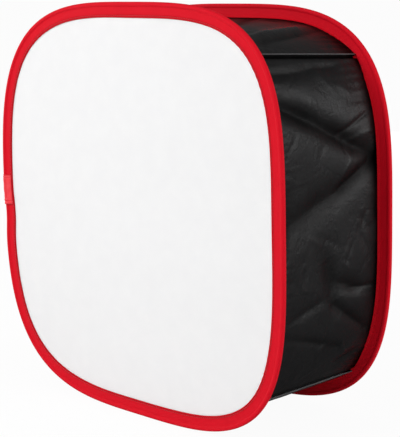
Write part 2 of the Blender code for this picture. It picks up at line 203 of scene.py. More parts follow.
# Spring bands and their clips
# Each hoop is one flat band of blue-grey spring steel, rolled in a coil when it was made, and its
# ends are butted under a folded clip. They stay inside the tape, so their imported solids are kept.
STEEL_DARK = (0.30, 0.31, 0.33, 1.0)
STEEL_PALE = (0.52, 0.53, 0.55, 1.0)
STEEL_GRAIN = 900.0


def start_finish(name, constants, cloth=True):
    """A material with one Principled shader. Gives it, a wire of the place on the cloth's own map or
    in the object, both in metres, and the shader."""
    material = bpy.data.materials.new(name)
    material.use_nodes = True
    shader = material.node_tree.nodes["Principled BSDF"]
    for socket, value in constants.items():
        shader.inputs[socket].default_value = value
    start = Wire(material.node_tree)
    if cloth:
        return material, start.node("ShaderNodeUVMap", {"uv_map": "cloth"}), shader
    return material, start.node("ShaderNodeTexCoord", output="Object"), shader


def connect(wire, shader, socket):
    wire.tree.links.new(wire.socket, shader.inputs[socket])


def mix_colours(share, first, second):
    """Share of the second colour over the first, through a Mix node's colour sockets."""
    settings = {"data_type": "RGBA", "clamp_factor": True}
    return share.node("ShaderNodeMix", settings, {0: share, 6: first, 7: second}, output=2)


def noise(place, scale, detail=2.0, roughness=0.5):
    """Smooth noise of 0 to 1; scale is bumps per metre."""
    inputs = {"Vector": place, "Scale": scale, "Detail": detail, "Roughness": roughness}
    return place.node("ShaderNodeTexNoise", inputs=inputs)


def stretch(place, scale):
    """The place scaled by its own number along each axis, for streaks and threads."""
    return place.node("ShaderNodeMapping", inputs={"Vector": place, "Scale": scale})


def emboss(height, distance, shader):
    """Bumps of this height in the shader's Normal; a height of 1 rises by the distance."""
    bump = height.node("ShaderNodeBump", inputs={"Height": height, "Distance": distance})
    connect(bump, shader, "Normal")


def steel_finish():
    """Rolled steel: fine streaks along the band, and a few darker patches of oil."""
    material, place, shader = start_finish("spring_steel", {"Metallic": 1.0}, cloth=False)
    grain = noise(stretch(place, (0.05, 1.0, 0.05)), STEEL_GRAIN, 3.0)
    oil = noise(place, 40.0, 3.0).rise(0.42, 0.62)
    connect(mix_colours(grain * 0.6 + oil * 0.4, STEEL_DARK, STEEL_PALE), shader, "Base Color")
    connect(grain * 0.16 + oil * 0.10 + 0.20, shader, "Roughness")
    emboss(grain, 0.00003, shader)
    return material


steel = steel_finish()
for hoop in ("front", "rear"):
    for node in (f"{hoop}_hoop", f"{hoop}_hoop_clip"):
        frame["nodes"][node].material_slots[0].material = steel

# Corner stays
# A thin spring strip stands in each corner seam and pushes the hoops apart. The strips bow and fold
# away as the front hoop closes; each keeps its imported solid, in steel, on a mesh of its own.
CORNERS = ("top_right", "top_left", "bottom_left", "bottom_right")
sleeve_low, sleeve_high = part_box("top_right_sleeve")
WALL_FRONT, WALL_BACK = sleeve_low.y, sleeve_high.y
WALL_DEPTH = WALL_BACK - WALL_FRONT
SLIDE = next(joint for joint in frame["joints"] if joint["name"] == "collapse")["range_m"][1]
FOLD_CLEARANCE = 0.0007
FOLDED_SHARE = 1.0 - (SLIDE + FOLD_CLEARANCE) / WALL_DEPTH


def fold_up(item):
    """Gives the piece a mesh of its own, shared with no other piece."""
    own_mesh(item)


for corner in CORNERS:
    stay = frame["nodes"][f"{corner}_stay"]
    stay.material_slots[0].material = steel
    fold_up(stay)

# Edge tapes
# A bright red woven tape is folded over each hoop and sewn down along both edges. It swells over
# the band, runs flat to its turned-in edge, and its two legs hold the cloths between them.
FRONT_SQUARENESS = (3.12, 3.68)
REAR_SQUARENESS = (3.45, 3.45)
DIP_HEIGHT = -0.022
DIP_SPREAD = 0.020
DIP_DEPTH = 0.0024
OUTLINE_STEPS = 6000

TAPE_WIDTH = 0.0150
TAPE_THICKNESS = 0.0006
TAPE_STEPS = 1500
BEAD_WIDTH = 0.0046
BEAD_SQUARENESS = 2.5
BEAD_BLEND = 8
HEM_INSET = 0.0108
HEM_LIFT = 0.00014
HEM_SOFTNESS = 0.0003
EDGE_ROLL = 0.00026
REAR_CURL_START = 0.0120
REAR_CURL_HEIGHT = 0.0028
REAR_CURL_SHIFT = 0.0011
EDGE_ROLL_INSET = 0.0142
EDGE_ROLL_WIDTH = 0.0007
EDGE_ROUND = 0.0006
SLOT_SPARE = 0.0003
SEAM_INSET = 0.0129
SEAM_SINK = 0.00022
SEAM_SPREAD = 0.0006
SEAM_DRAW = 0.00007
SEAM_DRAW_SPREAD = 0.0012
EDGE_SWAY = 0.00018
STITCH_PITCH = 0.0031
STITCH_LENGTH = 0.0025
STITCH_RADIUS = 0.00026
PUCKER_DEPTH = 0.00016
PUCKER_PITCH = 0.0085
RED_DEEP = (0.46, 0.0024, 0.0085, 1.0)
RED_BRIGHT = (0.80, 0.0058, 0.0210, 1.0)
RIM_SHADE_INSET = 0.0108
TAPE_RIB = 0.0007


def ramp(value, low, high):
    """A straight rise from 0 at low to 1 at high."""
    return np.clip((value - low) / (high - low), 0.0, 1.0)


def rounded(value, low, high):
    """A quarter circle's fall from 1 at low to 0 at high: sqrt(1 - ramp²)."""
    return np.sqrt(1 - ramp(value, low, high) ** 2)


def hump(distance, spread):
    """A soft hump of height 1: exp(-(distance / spread)²)."""
    return np.exp(-((distance / spread) ** 2))


def size_of(node):
    """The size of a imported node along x, y and z."""
    low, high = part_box(node)
    return high - low


class Outline:
    """A hoop's outline, read by its share of the way round, from the middle of the right side up.

    Each point (x, z) satisfies |x / half width|^n + |z / half height|^n = 1, with n the squareness
    of its side. The left side also leans in by DIP_DEPTH · exp(-((z - DIP_HEIGHT) / DIP_SPREAD)²).
    """

    def __init__(self, node, squareness):
        low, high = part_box(node)
        self.plane = (low.y + high.y) / 2
        self.half_thickness = (high.y - low.y) / 2
        self.middle = high.z / 2
        angle = np.linspace(0.0, math.tau, OUTLINE_STEPS + 1)
        fullness = np.where(np.cos(angle) < 0, *squareness)
        wide = np.abs(np.cos(angle) / high.x) ** fullness
        tall = np.abs(np.sin(angle) / self.middle) ** fullness
        reach = (wide + tall) ** (-1 / fullness)
        rise = reach * np.sin(angle)
        dip = DIP_DEPTH * hump(rise - DIP_HEIGHT, DIP_SPREAD)
        self.x = reach * np.cos(angle) + np.where(np.cos(angle) < 0, dip, 0.0)
        self.z = self.middle + rise
        steps = np.hypot(np.diff(self.x), np.diff(self.z))
        self.length = steps.sum()
        self.share = np.concatenate([[0.0], np.cumsum(steps)]) / self.length
        run_x, run_z = np.gradient(self.x), np.gradient(self.z)
        size = np.hypot(run_x, run_z)
        self.out_x, self.out_z = run_z / size, -run_x / size

    def outward(self, share):
        """The outward direction (x, z) at each share."""
        share = np.asarray(share) % 1.0
        return np.interp(share, self.share, self.out_x), np.interp(share, self.share, self.out_z)

    def place(self, share, inset=0.0):
        """The point (x, z) at each share, moved in along the outward direction."""
        out_x, out_z = self.outward(share)
        share = np.asarray(share) % 1.0
        x = np.interp(share, self.share, self.x) - inset * out_x
        z = np.interp(share, self.share, self.z) - inset * out_z
        return x, z

    def share_at(self, rise):
        """The share of the left side's point this far above the hoop's middle."""
        left = (self.x < 0) & (np.abs(self.z - self.middle) < self.middle / 2)
        return np.interp(-rise, self.middle - self.z[left], self.share[left])


front = Outline("front_binding", FRONT_SQUARENESS)
rear = Outline("rear_binding", REAR_SQUARENESS)
front.slot = size_of("diffuser").y / 2 + SLOT_SPARE
rear.slot = (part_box("rear_panel")[1].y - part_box("rear_lining")[0].y) / 2 + SLOT_SPARE


def mesh_piece(name, material, points, faces, places=None):
    """An object from its material, points, faces, and each corner's place on the cloth."""
    mesh = bpy.data.meshes.new(name)
    mesh.from_pydata(points.reshape(-1, 3), [], faces)
    if places is not None:
        mesh.uv_layers.new(name="cloth").data.foreach_set("uv", places.reshape(-1).astype(np.float32))
    mesh.shade_smooth()
    mesh.materials.append(material)
    item = bpy.data.objects.new(name, mesh)
    bpy.context.collection.objects.link(item)
    return item


def turned_out(points, faces, facing):
    """Whether the faces already point out. The sum of their areas' directions is set against
    facing, or on a closed skin the sum of the volumes under them against nought."""
    a, b, c, d = (points.reshape(-1, 3)[faces[:, k]] for k in range(4))
    areas = np.cross(c - a, d - b)
    if facing is not None:
        return areas.sum(axis=0) @ np.array(facing) > 0
    return ((a + b + c + d) / 4 * areas).sum() > 0


def skin(points, wrap, facing=None, along=None, across=None):
    """Faces over a grid of points (rows, columns, xyz), joined into a ring in the ways that wrap
    says, and their corners' places on the cloth: the distances of the rows and the columns, or x
    and z for a flat cloth without them."""
    rows, columns = points.shape[:2]
    row, column = np.indices((rows - 1 + wrap[0], columns - 1 + wrap[1])).reshape(2, -1, 1)
    corner_row, corner_column = row + np.array([0, 1, 1, 0]), column + np.array([0, 0, 1, 1])
    faces = corner_row % rows * columns + corner_column % columns
    if along is None:
        places = points.reshape(-1, 3)[faces][..., [0, 2]]
    else:
        places = np.stack([along[corner_row], across[corner_column]], axis=-1)
    if turned_out(points, faces, facing):
        return faces, places
    return faces[:, ::-1], places[:, ::-1]


def mark(item, name, values):
    """Writes a value for each point, under the name by which a material reads it."""
    item.data.attributes.new(name, "FLOAT", "POINT").data.foreach_set("value", values.ravel())


def distances(points):
    """How far along a line of points each one lies."""
    steps = np.linalg.norm(np.diff(points, axis=0), axis=1)
    return np.concatenate([[0.0], np.cumsum(steps)])


def tape_section(hoop):
    """One side of the tape's outer face, from the outermost point in: insets and heights.

    Over the band it follows |1 - inset / half width|^n + |height / half height|^n = 1. Past the
    bead's crest the height is the eighth-power sum of the bead and the leg, which meets both
    smoothly, and the turned-in edge, its rolled rim and the sewn groove are added to the leg.
    """
    half = BEAD_WIDTH / 2
    turn = np.linspace(0.0, math.pi / 2, 6)[:-1]
    bead_inset = half * (1 - np.cos(turn) ** (2 / BEAD_SQUARENESS))
    bead_height = hoop.half_thickness * np.sin(turn) ** (2 / BEAD_SQUARENESS)
    stops = [np.linspace(half, 0.0052, 6), np.linspace(0.0065, 0.0115, 4), np.linspace(0.0121, 0.0136, 6)]
    inset = np.concatenate([*stops, [0.0139, 0.0142, 0.0146, 0.0149, TAPE_WIDTH]])
    fall = np.clip(1 - np.abs(inset / half - 1) ** BEAD_SQUARENESS, 0.0, 1.0)
    bead = hoop.half_thickness * fall ** (1 / BEAD_SQUARENESS)
    leg = hoop.slot + TAPE_THICKNESS
    height = (bead**BEAD_BLEND + leg**BEAD_BLEND) ** (1 / BEAD_BLEND)
    height += HEM_LIFT / (1 + np.exp((HEM_INSET - inset) / HEM_SOFTNESS))
    height += EDGE_ROLL * hump(inset - EDGE_ROLL_INSET, EDGE_ROLL_WIDTH)
    height -= SEAM_SINK * hump(inset - SEAM_INSET, SEAM_SPREAD)
    height = hoop.slot + (height - hoop.slot) * rounded(inset, TAPE_WIDTH - EDGE_ROUND, TAPE_WIDTH)
    return np.concatenate([bead_inset, inset]), np.concatenate([bead_height, height])


def both_sides(inset, height):
    """A section from one side's points, outermost first, carried on over both sides in one line."""
    insets = np.concatenate([inset[::-1], inset[1:]])
    heights = np.concatenate([height[::-1], -height[1:]])
    return insets, heights


def pocket_section(hoop):
    """The tape's inner face: a slot for the cloth, and a pocket round the band."""
    half = BEAD_WIDTH / 2
    inset = np.array([TAPE_THICKNESS, 0.0008, half, 0.0038, TAPE_WIDTH])
    height = np.array([0.0, 0.0016, hoop.half_thickness - TAPE_THICKNESS, hoop.slot, hoop.slot])
    return both_sides(inset, height)


def carried(hoop, share, inset, depth):
    """Points of a section of (inset, depth) carried round a hoop's outline."""
    x, z = hoop.place(share, inset)
    return np.stack(np.broadcast_arrays(x, hoop.plane + depth, z), axis=-1)


def make_tape(hoop, name, material):
    """The folded tape all the way round, drawn in between its stitches and puckered in the bends.
    The walls pull the rear tape's inner edge forwards, so it curls along them. The value named rim
    goes from 0 to 1 over the last part before the inner edge, where the finish paints shade."""
    outer_inset, outer_depth = both_sides(*tape_section(hoop))
    inner_inset, inner_depth = pocket_section(hoop)
    inset = np.concatenate([outer_inset, inner_inset[::-1]])
    depth = np.concatenate([outer_depth, inner_depth[::-1]])
    outer = np.arange(len(inset)) < len(outer_inset)
    side = np.sign(depth) * outer
    share = np.linspace(0.0, 1.0, TAPE_STEPS, endpoint=False)[:, None]
    run = share * hoop.length
    pitch = hoop.length / round(hoop.length / STITCH_PITCH)
    drawn = SEAM_DRAW * np.cos(math.tau * run / pitch) * hump(inset - SEAM_INSET, SEAM_DRAW_SPREAD) * side
    out_x, out_z = hoop.outward(share)
    bend = np.clip(4 * np.abs(out_x * out_z) - 0.4, 0.0, 1.0)
    wander = np.sin(math.tau * 5 * share) + np.sin(math.tau * 13 * share + 1.3)
    puckers = PUCKER_DEPTH * bend * np.sin(math.tau * run / PUCKER_PITCH + wander)
    puckers = puckers * ramp(inset, 0.005, TAPE_WIDTH) * side
    slack = EDGE_SWAY * np.sin(math.tau * 9 * share + 0.7) * ramp(inset, 0.004, TAPE_WIDTH) * outer
    curl = ramp(inset, REAR_CURL_START, TAPE_WIDTH) ** 1.5 * outer * (depth < 0) * (hoop is rear)
    slack, drawn = slack - REAR_CURL_SHIFT * curl, drawn - REAR_CURL_HEIGHT * curl
    points = carried(hoop, share, inset + slack, depth + drawn + puckers)
    around = distances(np.stack([inset, depth], axis=-1))
    around = np.append(around, around[-1] + TAPE_THICKNESS)
    along = np.linspace(0.0, hoop.length, TAPE_STEPS + 1)
    tape = mesh_piece(name, material, points, *skin(points, (True, True), None, along, around))
    # rim marks the band along the inner edge where the tape's finish paints shade.
    mark(tape, "rim", ramp(inset, RIM_SHADE_INSET, TAPE_WIDTH) + 0 * share)
    return tape


def weave(place, pitch_along, pitch_across):
    """Height of a plain weave on the cloth's own map: the product of a sine along and one across."""
    parts = place.node("ShaderNodeSeparateXYZ", inputs={0: place})
    across = Wire(place.tree, parts.socket.node.outputs[1])
    warp = (parts * (math.tau / pitch_along)).sine()
    weft = (across * (math.tau / pitch_across)).sine()
    return warp * weft


def tape_finish():
    """Woven polyester tape: ribs across it, threads along it, brighter where threads lie proud, partly
    the threads' own tone and partly painted light, and with painted shade towards the inner edge by
    the value named rim."""
    material, place, shader = start_finish("red_tape", {"Specular IOR Level": 0.07})
    threads = noise(stretch(place, (30.0, 1500.0, 1.0)), 1.0, 3.0, 0.6)
    patches = noise(place, 60.0, 3.0, 0.6)
    ribs = weave(place, TAPE_RIB, TAPE_RIB * 1.4)
    rim = place.node("ShaderNodeAttribute", {"attribute_name": "rim"}, output="Fac")
    # Proud threads lighten the tone, partly painted light, and rim paints shade along the inner edge.
    tone = threads * 0.37 + patches * 0.20 + ribs * 0.07 - rim * 0.45 + 0.315
    connect(mix_colours(tone, RED_DEEP, RED_BRIGHT), shader, "Base Color")
    connect(0.72 - threads * 0.22, shader, "Roughness")
    emboss(ribs * 0.5 + threads, 0.00010, shader)
    return material


def thread_finish(name, dark, pale):
    """Sewing thread: two plies twisted round each other, with a soft shine."""
    constants = {"Roughness": 0.45, "Sheen Weight": 0.2}
    material, place, shader = start_finish(name, constants, cloth=False)
    plies = noise(place, 2500.0, 1.0)
    connect(mix_colours(plies, dark, pale), shader, "Base Color")
    emboss(plies, 0.00006, shader)
    return material


def tubes(name, points, material, base, slot):
    """Threads on another piece: small tubes with shut ends, from points (tube, ring, side, xyz).
    Neighbouring rings are joined side by side, and each end ring is shut across."""
    count, rings, sides = points.shape[:3]
    first = (np.arange(count) * rings * sides)[:, None, None]
    ring = np.arange(rings - 1)[:, None, None] * sides
    corner = np.stack([np.arange(sides), (np.arange(sides) + 1) % sides], axis=-1)
    quads = np.concatenate([ring + corner, ring + corner[:, ::-1] + sides], axis=-1).reshape(-1, 4)
    end = np.array([[3, 2, 1, 0]] if sides == 4 else [[0, 3, 2, 1], [0, 5, 4, 3]])
    ends = np.concatenate([end, end[:, ::-1] + (rings - 1) * sides])
    faces = np.concatenate([(first + quads).reshape(-1, 4), (first + ends).reshape(-1, 4)])
    if not turned_out(points, faces, None):
        faces = faces[:, ::-1]
    item = mesh_piece(name, material, points, faces)
    item.parent = base


def sew(name, places, runs, ups, material, base, slot, length=STITCH_LENGTH):
    """A row of stitches as one piece. Each is a six-sided tube along its run with t from -1 to 1:
    it rises over the cloth by (1 - t²) radii and its radius is sqrt(1 - t⁴) of the full one."""
    t = np.array([-0.98, -0.72, 0.0, 0.72, 0.98])[:, None]
    turn = np.arange(6) * math.tau / 6
    thick = STITCH_RADIUS * np.sqrt(1 - t**4)
    sideways = np.cross(runs, ups)
    ahead = (t * length / 2 + 0 * turn)[..., None]
    beside = (thick * np.cos(turn))[..., None]
    above = (STITCH_RADIUS * (1 - t**2) + thick * np.sin(turn))[..., None]
    frames = [direction[:, None, None, :] for direction in (places, runs, sideways, ups)]
    points = frames[0] + frames[1] * ahead + frames[2] * beside + frames[3] * above
    tubes(name, points, material, base, slot)


def sew_through(name, x, z, run_x, run_z, plane, lift, *thread):
    """Stitches through a flat piece in a plane, seen at (x, z) on both of its faces."""
    flat = np.zeros(len(x))
    places = [np.stack([x, plane + side * lift + flat, z], axis=-1) for side in (-1, 1)]
    ups = [np.stack([flat, side + flat, flat], axis=-1) for side in (-1, 1)]
    runs = np.tile(np.stack([run_x + flat, flat, run_z + flat], axis=-1), (2, 1))
    sew(name, np.concatenate(places), runs, np.concatenate(ups), *thread)


def tape_seams(hoop, name, *thread):
    """The sewn line near the tape's inner edge, on both of its faces."""
    count = round(hoop.length / STITCH_PITCH)
    share = (np.arange(count) + 0.5) / count
    lift = np.interp(SEAM_INSET, *tape_section(hoop))
    out_x, out_z = hoop.outward(share)
    sew_through(name, *hoop.place(share, SEAM_INSET), -out_z, out_x, hoop.plane, lift, *thread)


red_tape = tape_finish()
red_thread = thread_finish("red_thread", (0.34, 0.002, 0.006, 1.0), (0.60, 0.008, 0.018, 1.0))
for hoop, name in ((front, "front"), (rear, "rear")):
    tape = make_tape(hoop, f"{name}_edge_tape", red_tape)
    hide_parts(f"{name}_binding")
    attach(tape, f"{name}_frame")
    tape_seams(hoop, f"{name}_edge_tape_stitches", red_thread, tape, "red_tape")

# Lapped ends of the tapes
# Where a tape's ends meet, a short satin length of it is lapped over the joint on the left side.
# Stitched bars pinch its upper end, and its lower end is folded into two small ridges.
LAP_RISE = 0.004
LAP_LENGTH = 0.032
LAP_GROW = 0.0007
LAP_STEPS = 130
LAP_COVER = 0.0003
LAP_EDGE = 0.0133
LAP_FACE = 0.0134
LAP_TURN = 0.0016
LAP_SWELL = 0.00010
LAP_PILLOW = 0.0005
LAP_WAVE = 0.00012
LAP_WAVE_PITCH = 0.0105
LAP_BARS = (0.0148, 0.0128)
LAP_BAR_INSETS = (0.0066, 0.0080, 0.0094, 0.0108)
LAP_BAR_DEPTH = 0.00045
LAP_BAR_SPREAD = 0.00050
LAP_BAR_STITCH = 0.0016
STITCH_SINK = 0.0002
LAP_RIDGES = (-0.0112, -0.0147)
LAP_RIDGE_HEIGHT = 0.00085
LAP_RIDGE_SPREAD = 0.00085
# Both satin colours are the satin's own red, made brighter and pinker in part as a painted sheen.
SATIN_DEEP = (0.70, 0.012, 0.022, 1.0)
SATIN_BRIGHT = (0.96, 0.055, 0.075, 1.0)


def make_lap(hoop, inward):
    """The lapped end: the tape's own section grown by a little, and closed inside by the same one
    grown less. Its growth is drawn in under each sewn bar and swells over each folded ridge."""
    ends = LAP_LENGTH / 2, -LAP_LENGTH / 2
    share = np.linspace(*(hoop.share_at(LAP_RISE + end) for end in ends), LAP_STEPS)[:, None]
    rise = np.linspace(*ends, LAP_STEPS)[:, None]
    swell = LAP_SWELL + LAP_WAVE * np.sin(math.tau * rise / LAP_WAVE_PITCH + 0.8)
    for place in LAP_BARS:
        swell = swell - LAP_BAR_DEPTH * hump(rise - place, LAP_BAR_SPREAD)
    for place in LAP_RIDGES:
        swell = swell + LAP_RIDGE_HEIGHT * hump(rise - place, LAP_RIDGE_SPREAD)
    inset, height = both_sides(*tape_section(hoop))
    reach = np.where(height * inward > 0, LAP_EDGE, LAP_FACE)
    swell = swell + LAP_PILLOW * np.sin(math.pi * np.clip(inset / reach, 0.0, 1.0))
    upright = ramp(inset, 0.0, LAP_TURN)
    layers = []
    for grow in (LAP_GROW + swell, LAP_COVER + 0 * swell):
        moved = np.minimum(inset, reach) - grow * (1 - upright)
        layers.append(carried(hoop, share, moved, height + np.sign(height) * upright * grow))
    points = np.concatenate([layers[0], layers[1][:, ::-1]], axis=1)
    around = distances(points[LAP_STEPS // 2])
    return points, np.linspace(0.0, LAP_LENGTH, LAP_STEPS), np.append(around, around[-1] + LAP_GROW)


def closed_tube(name, material, points, along, around):
    """A skin over rings of points with both its ends shut: each end ring is joined across to
    itself, which suits a flat section whose two halves run side by side."""
    rows, columns = points.shape[:2]
    faces, places = skin(points, (False, True), None, along, around)
    near = np.arange(columns // 2 - 1)
    cap = np.stack([near, near + 1, columns - 2 - near, columns - 1 - near], axis=-1)
    if np.any((faces[0] == 0) & (np.roll(faces[0], -1) == 1)):
        cap = cap[:, ::-1]
    faces = np.concatenate([faces, cap, cap[:, ::-1] + (rows - 1) * columns])
    places = np.concatenate([places, np.zeros((2 * len(cap), 4, 2))])
    return mesh_piece(name, material, points, faces, places)


def satin_finish():
    """Satin face of the tape: long smooth threads, a clear shine and faint bands across. Its bright
    colours are partly painted sheen.
    """
    constants = {"Specular IOR Level": 0.45, "Sheen Weight": 0.08, "Sheen Roughness": 0.3}
    material, place, shader = start_finish("red_satin", constants)
    threads = noise(stretch(place, (200.0, 2200.0, 1.0)), 1.0, 3.0, 0.6)
    patches = noise(place, 180.0, 2.0)
    connect(mix_colours(threads * 0.5 + patches * 0.5, SATIN_DEEP, SATIN_BRIGHT), shader, "Base Color")
    connect(threads * 0.15 + 0.26, shader, "Roughness")
    emboss(threads, 0.00006, shader)
    return material


red_satin = satin_finish()
bright_thread = thread_finish("bright_thread", (0.70, 0.030, 0.045, 1.0), (0.95, 0.110, 0.140, 1.0))
for hoop, name, inward in ((front, "front", 1), (rear, "rear", -1)):
    lap = closed_tube(f"{name}_tape_lap", red_satin, *make_lap(hoop, inward))
    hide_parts(f"{name}_splice_tab")
    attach(lap, f"{name}_frame")
    share = np.repeat([hoop.share_at(LAP_RISE + place) for place in LAP_BARS], len(LAP_BAR_INSETS))
    inset = np.tile(LAP_BAR_INSETS, len(LAP_BARS))
    lift = np.interp(inset, *tape_section(hoop)) + LAP_GROW - STITCH_SINK
    bars = *hoop.place(share, inset), *hoop.outward(share[0]), hoop.plane, lift
    sew_through(f"{name}_tape_lap_stitches", *bars, bright_thread, lap, "red_tape", LAP_BAR_STITCH)

# Diffuser
# A white woven cloth that passes the light is stretched over the front hoop, and its edge is sewn
# between the legs of the tape. It is drum tight, with faint ripples where the tape bends.
CLOTH_EDGE = 0.0035
DIFFUSER_RINGS = 46
DIFFUSER_STATIONS = 560
DIFFUSER_MIDDLE = 0.004
DIFFUSER_RIPPLE = 0.00016
DIFFUSER_THREAD = 0.0007
DIFFUSER_WHITE = (0.93, 0.93, 0.93, 1.0)
DIFFUSER_SHADE = (0.90, 0.90, 0.905, 1.0)
GLOW_SHARE = 0.14


def disc_points(hoop, edge, rings, stations, hole=None):
    """Points (x, z) of a flat cloth in a hoop: its outline at the edge, drawn in ring by ring to a
    hole's outline, or to the middle. Rings lie closer together near the edge."""
    share = np.linspace(0.0, 1.0, stations, endpoint=False)
    rim_x, rim_z = hoop.place(share, edge)
    if hole is None:
        hole_x, hole_z = np.zeros(stations), np.full(stations, hoop.middle)
        first = DIFFUSER_MIDDLE
    else:
        hole_x, hole_z = hole(np.arctan2(rim_z - hoop.middle, rim_x))
        first = 0.0
    step = np.linspace(0.0, 1.0, rings)
    reach = (first + (1 - first) * (1 - (1 - step) ** 1.4))[:, None]
    return hole_x + (rim_x - hole_x) * reach, hole_z + (rim_z - hole_z) * reach, reach, share


def thicken(item, thickness):
    """Gives a sheet its thickness on the side away from its faces' direction."""
    solid = item.modifiers.new("thickness", "SOLIDIFY")
    solid.thickness = thickness
    solid.offset = -1.0


def sheet_area(item):
    """The area of a mesh, in square metres."""
    areas = np.zeros(len(item.data.polygons))
    item.data.polygons.foreach_get("area", areas)
    return float(areas.sum())


def make_diffuser(thickness, material):
    """The stretched cloth. Its ripples rise by a sine round the hoop, most in the bends, and fade
    inwards with the eighth power of the distance from the middle."""
    x, z, reach, share = disc_points(front, CLOTH_EDGE, DIFFUSER_RINGS, DIFFUSER_STATIONS)
    out_x, out_z = front.outward(share)
    bend = np.clip(2 * np.abs(out_x * out_z), 0.0, 1.0)
    wave = np.sin(math.tau * 58 * share + 2.0 * np.sin(math.tau * 3 * share))
    ripple = DIFFUSER_RIPPLE * (0.25 + bend) * wave * reach**8 * np.clip((1 - reach) * 12, 0.0, 1.0)
    points = np.stack([x, front.plane - thickness / 2 + ripple, z], axis=-1)
    faces, _ = skin(points, (False, True), (0.0, -1.0, 0.0))
    points = np.concatenate([points.reshape(-1, 3), [(0.0, points[0, 0, 1], front.middle)]])
    ring = np.arange(DIFFUSER_STATIONS)
    middle = np.full_like(ring, len(points) - 1)
    fan = np.stack([middle, ring, (ring + 1) % DIFFUSER_STATIONS], axis=-1)
    a, b, c = points[fan[0]]
    if np.cross(b - a, c - a)[1] > 0:
        fan = fan[:, ::-1]
    places = points[np.concatenate([faces.ravel(), fan.ravel()])][:, [0, 2]]
    return mesh_piece("front_diffuser", material, points, faces.tolist() + fan.tolist(), places)


def diffuser_finish():
    """White plain-woven cloth: most light scatters back, and a share passes through it."""
    constants = {"Specular IOR Level": 0.2, "Roughness": 0.8}
    material, place, shader = start_finish("white_cloth", constants)
    threads = weave(place, DIFFUSER_THREAD, DIFFUSER_THREAD)
    slubs = noise(place, 55.0, 4.0, 0.6)
    tone = (slubs * 0.8 + threads * 0.06).rise(0.15, 0.75)
    connect(mix_colours(tone, DIFFUSER_SHADE, DIFFUSER_WHITE), shader, "Base Color")
    emboss(threads * 0.5 + slubs * 0.5, 0.00006, shader)
    passing = place.node("ShaderNodeBsdfTranslucent", inputs={"Color": (0.92, 0.92, 0.92, 1.0)})
    both = place.node("ShaderNodeMixShader", inputs={0: GLOW_SHARE, 2: passing})
    tree = material.node_tree
    tree.links.new(shader.outputs[0], both.socket.node.inputs[1])
    tree.links.new(both.socket, tree.nodes["Material Output"].inputs["Surface"])
    return material


diffuser_size = size_of("diffuser")
diffuser = make_diffuser(diffuser_size.y, diffuser_finish())
diffuser_area = sheet_area(diffuser)
thicken(diffuser, diffuser_size.y)
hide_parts("diffuser")
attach(diffuser, "front_frame")

# Rear panel and its lining
# The back of the box is a black coated nylon panel with a silver cloth behind it, both sewn into
# the rear tape. A rectangle with round corners is cut out for the lamp.
OPENING_RADIUS = 0.020
OPENING_TAPE_WIDTH = 0.0100
OPENING_COVER = 0.0009
PANEL_RINGS = 34
PANEL_STATIONS = 720
PANEL_RIPPLE = 0.0010
NYLON_DEEP = (0.0016, 0.0016, 0.0018, 1.0)
NYLON_PALE = (0.0150, 0.0150, 0.0157, 1.0)
NYLON_THREAD = 0.0006
COVER_DEEP = (0.0050, 0.0050, 0.0055, 1.0)
COVER_PALE = (0.0150, 0.0150, 0.0160, 1.0)
SILVER_DEEP = (0.42, 0.42, 0.44, 1.0)
SILVER_PALE = (0.78, 0.78, 0.80, 1.0)

opening_low, opening_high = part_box("opening_binding")
OPENING_HALF_WIDTH = opening_high.x - OPENING_TAPE_WIDTH
OPENING_HALF_HEIGHT = (opening_high.z - opening_low.z) / 2 - OPENING_TAPE_WIDTH


def opening_at(grow):
    """The opening's outline, grown outwards, as a function of the direction from its middle: a
    ray meets a side, or the arc in a corner by the nearer root of its quadratic."""

    def outline(angle):
        c, s = np.abs(np.cos(angle)), np.abs(np.sin(angle))
        wide, tall = OPENING_HALF_WIDTH + grow, OPENING_HALF_HEIGHT + grow
        radius = OPENING_RADIUS + grow
        reach = np.minimum(wide / np.maximum(c, 1e-9), tall / np.maximum(s, 1e-9))
        middle_x, middle_z = wide - radius, tall - radius
        aim = c * middle_x + s * middle_z
        spare = aim**2 - (middle_x**2 + middle_z**2 - radius**2)
        arc = aim + np.sqrt(np.maximum(spare, 0.0))
        in_corner = (reach * c > middle_x) & (reach * s > middle_z)
        reach = np.where(in_corner, arc, reach)
        return reach * np.cos(angle), rear.middle + reach * np.sin(angle)

    return outline


def panel_sheet(name, material, depth):
    """A cloth from the opening to the hoop. Its soft swells are sines of the place, and they are
    nought at both edges."""
    x, z, reach, _ = disc_points(rear, CLOTH_EDGE, PANEL_RINGS, PANEL_STATIONS, opening_at(OPENING_COVER))
    swell = np.sin(x * 61 + 1.1 * np.sin(z * 23)) * np.sin(z * 47 + 0.6 * np.sin(x * 31))
    swell = swell + 0.6 * np.sin(x * 140 + z * 95)
    y = depth - PANEL_RIPPLE * (0.5 + 0.3 * swell) * np.sin(math.pi * np.clip(reach, 0.0, 1.0))
    points = np.stack([x, y, z], axis=-1)
    return mesh_piece(name, material, points, *skin(points, (False, True), (0.0, 1.0, 0.0)))


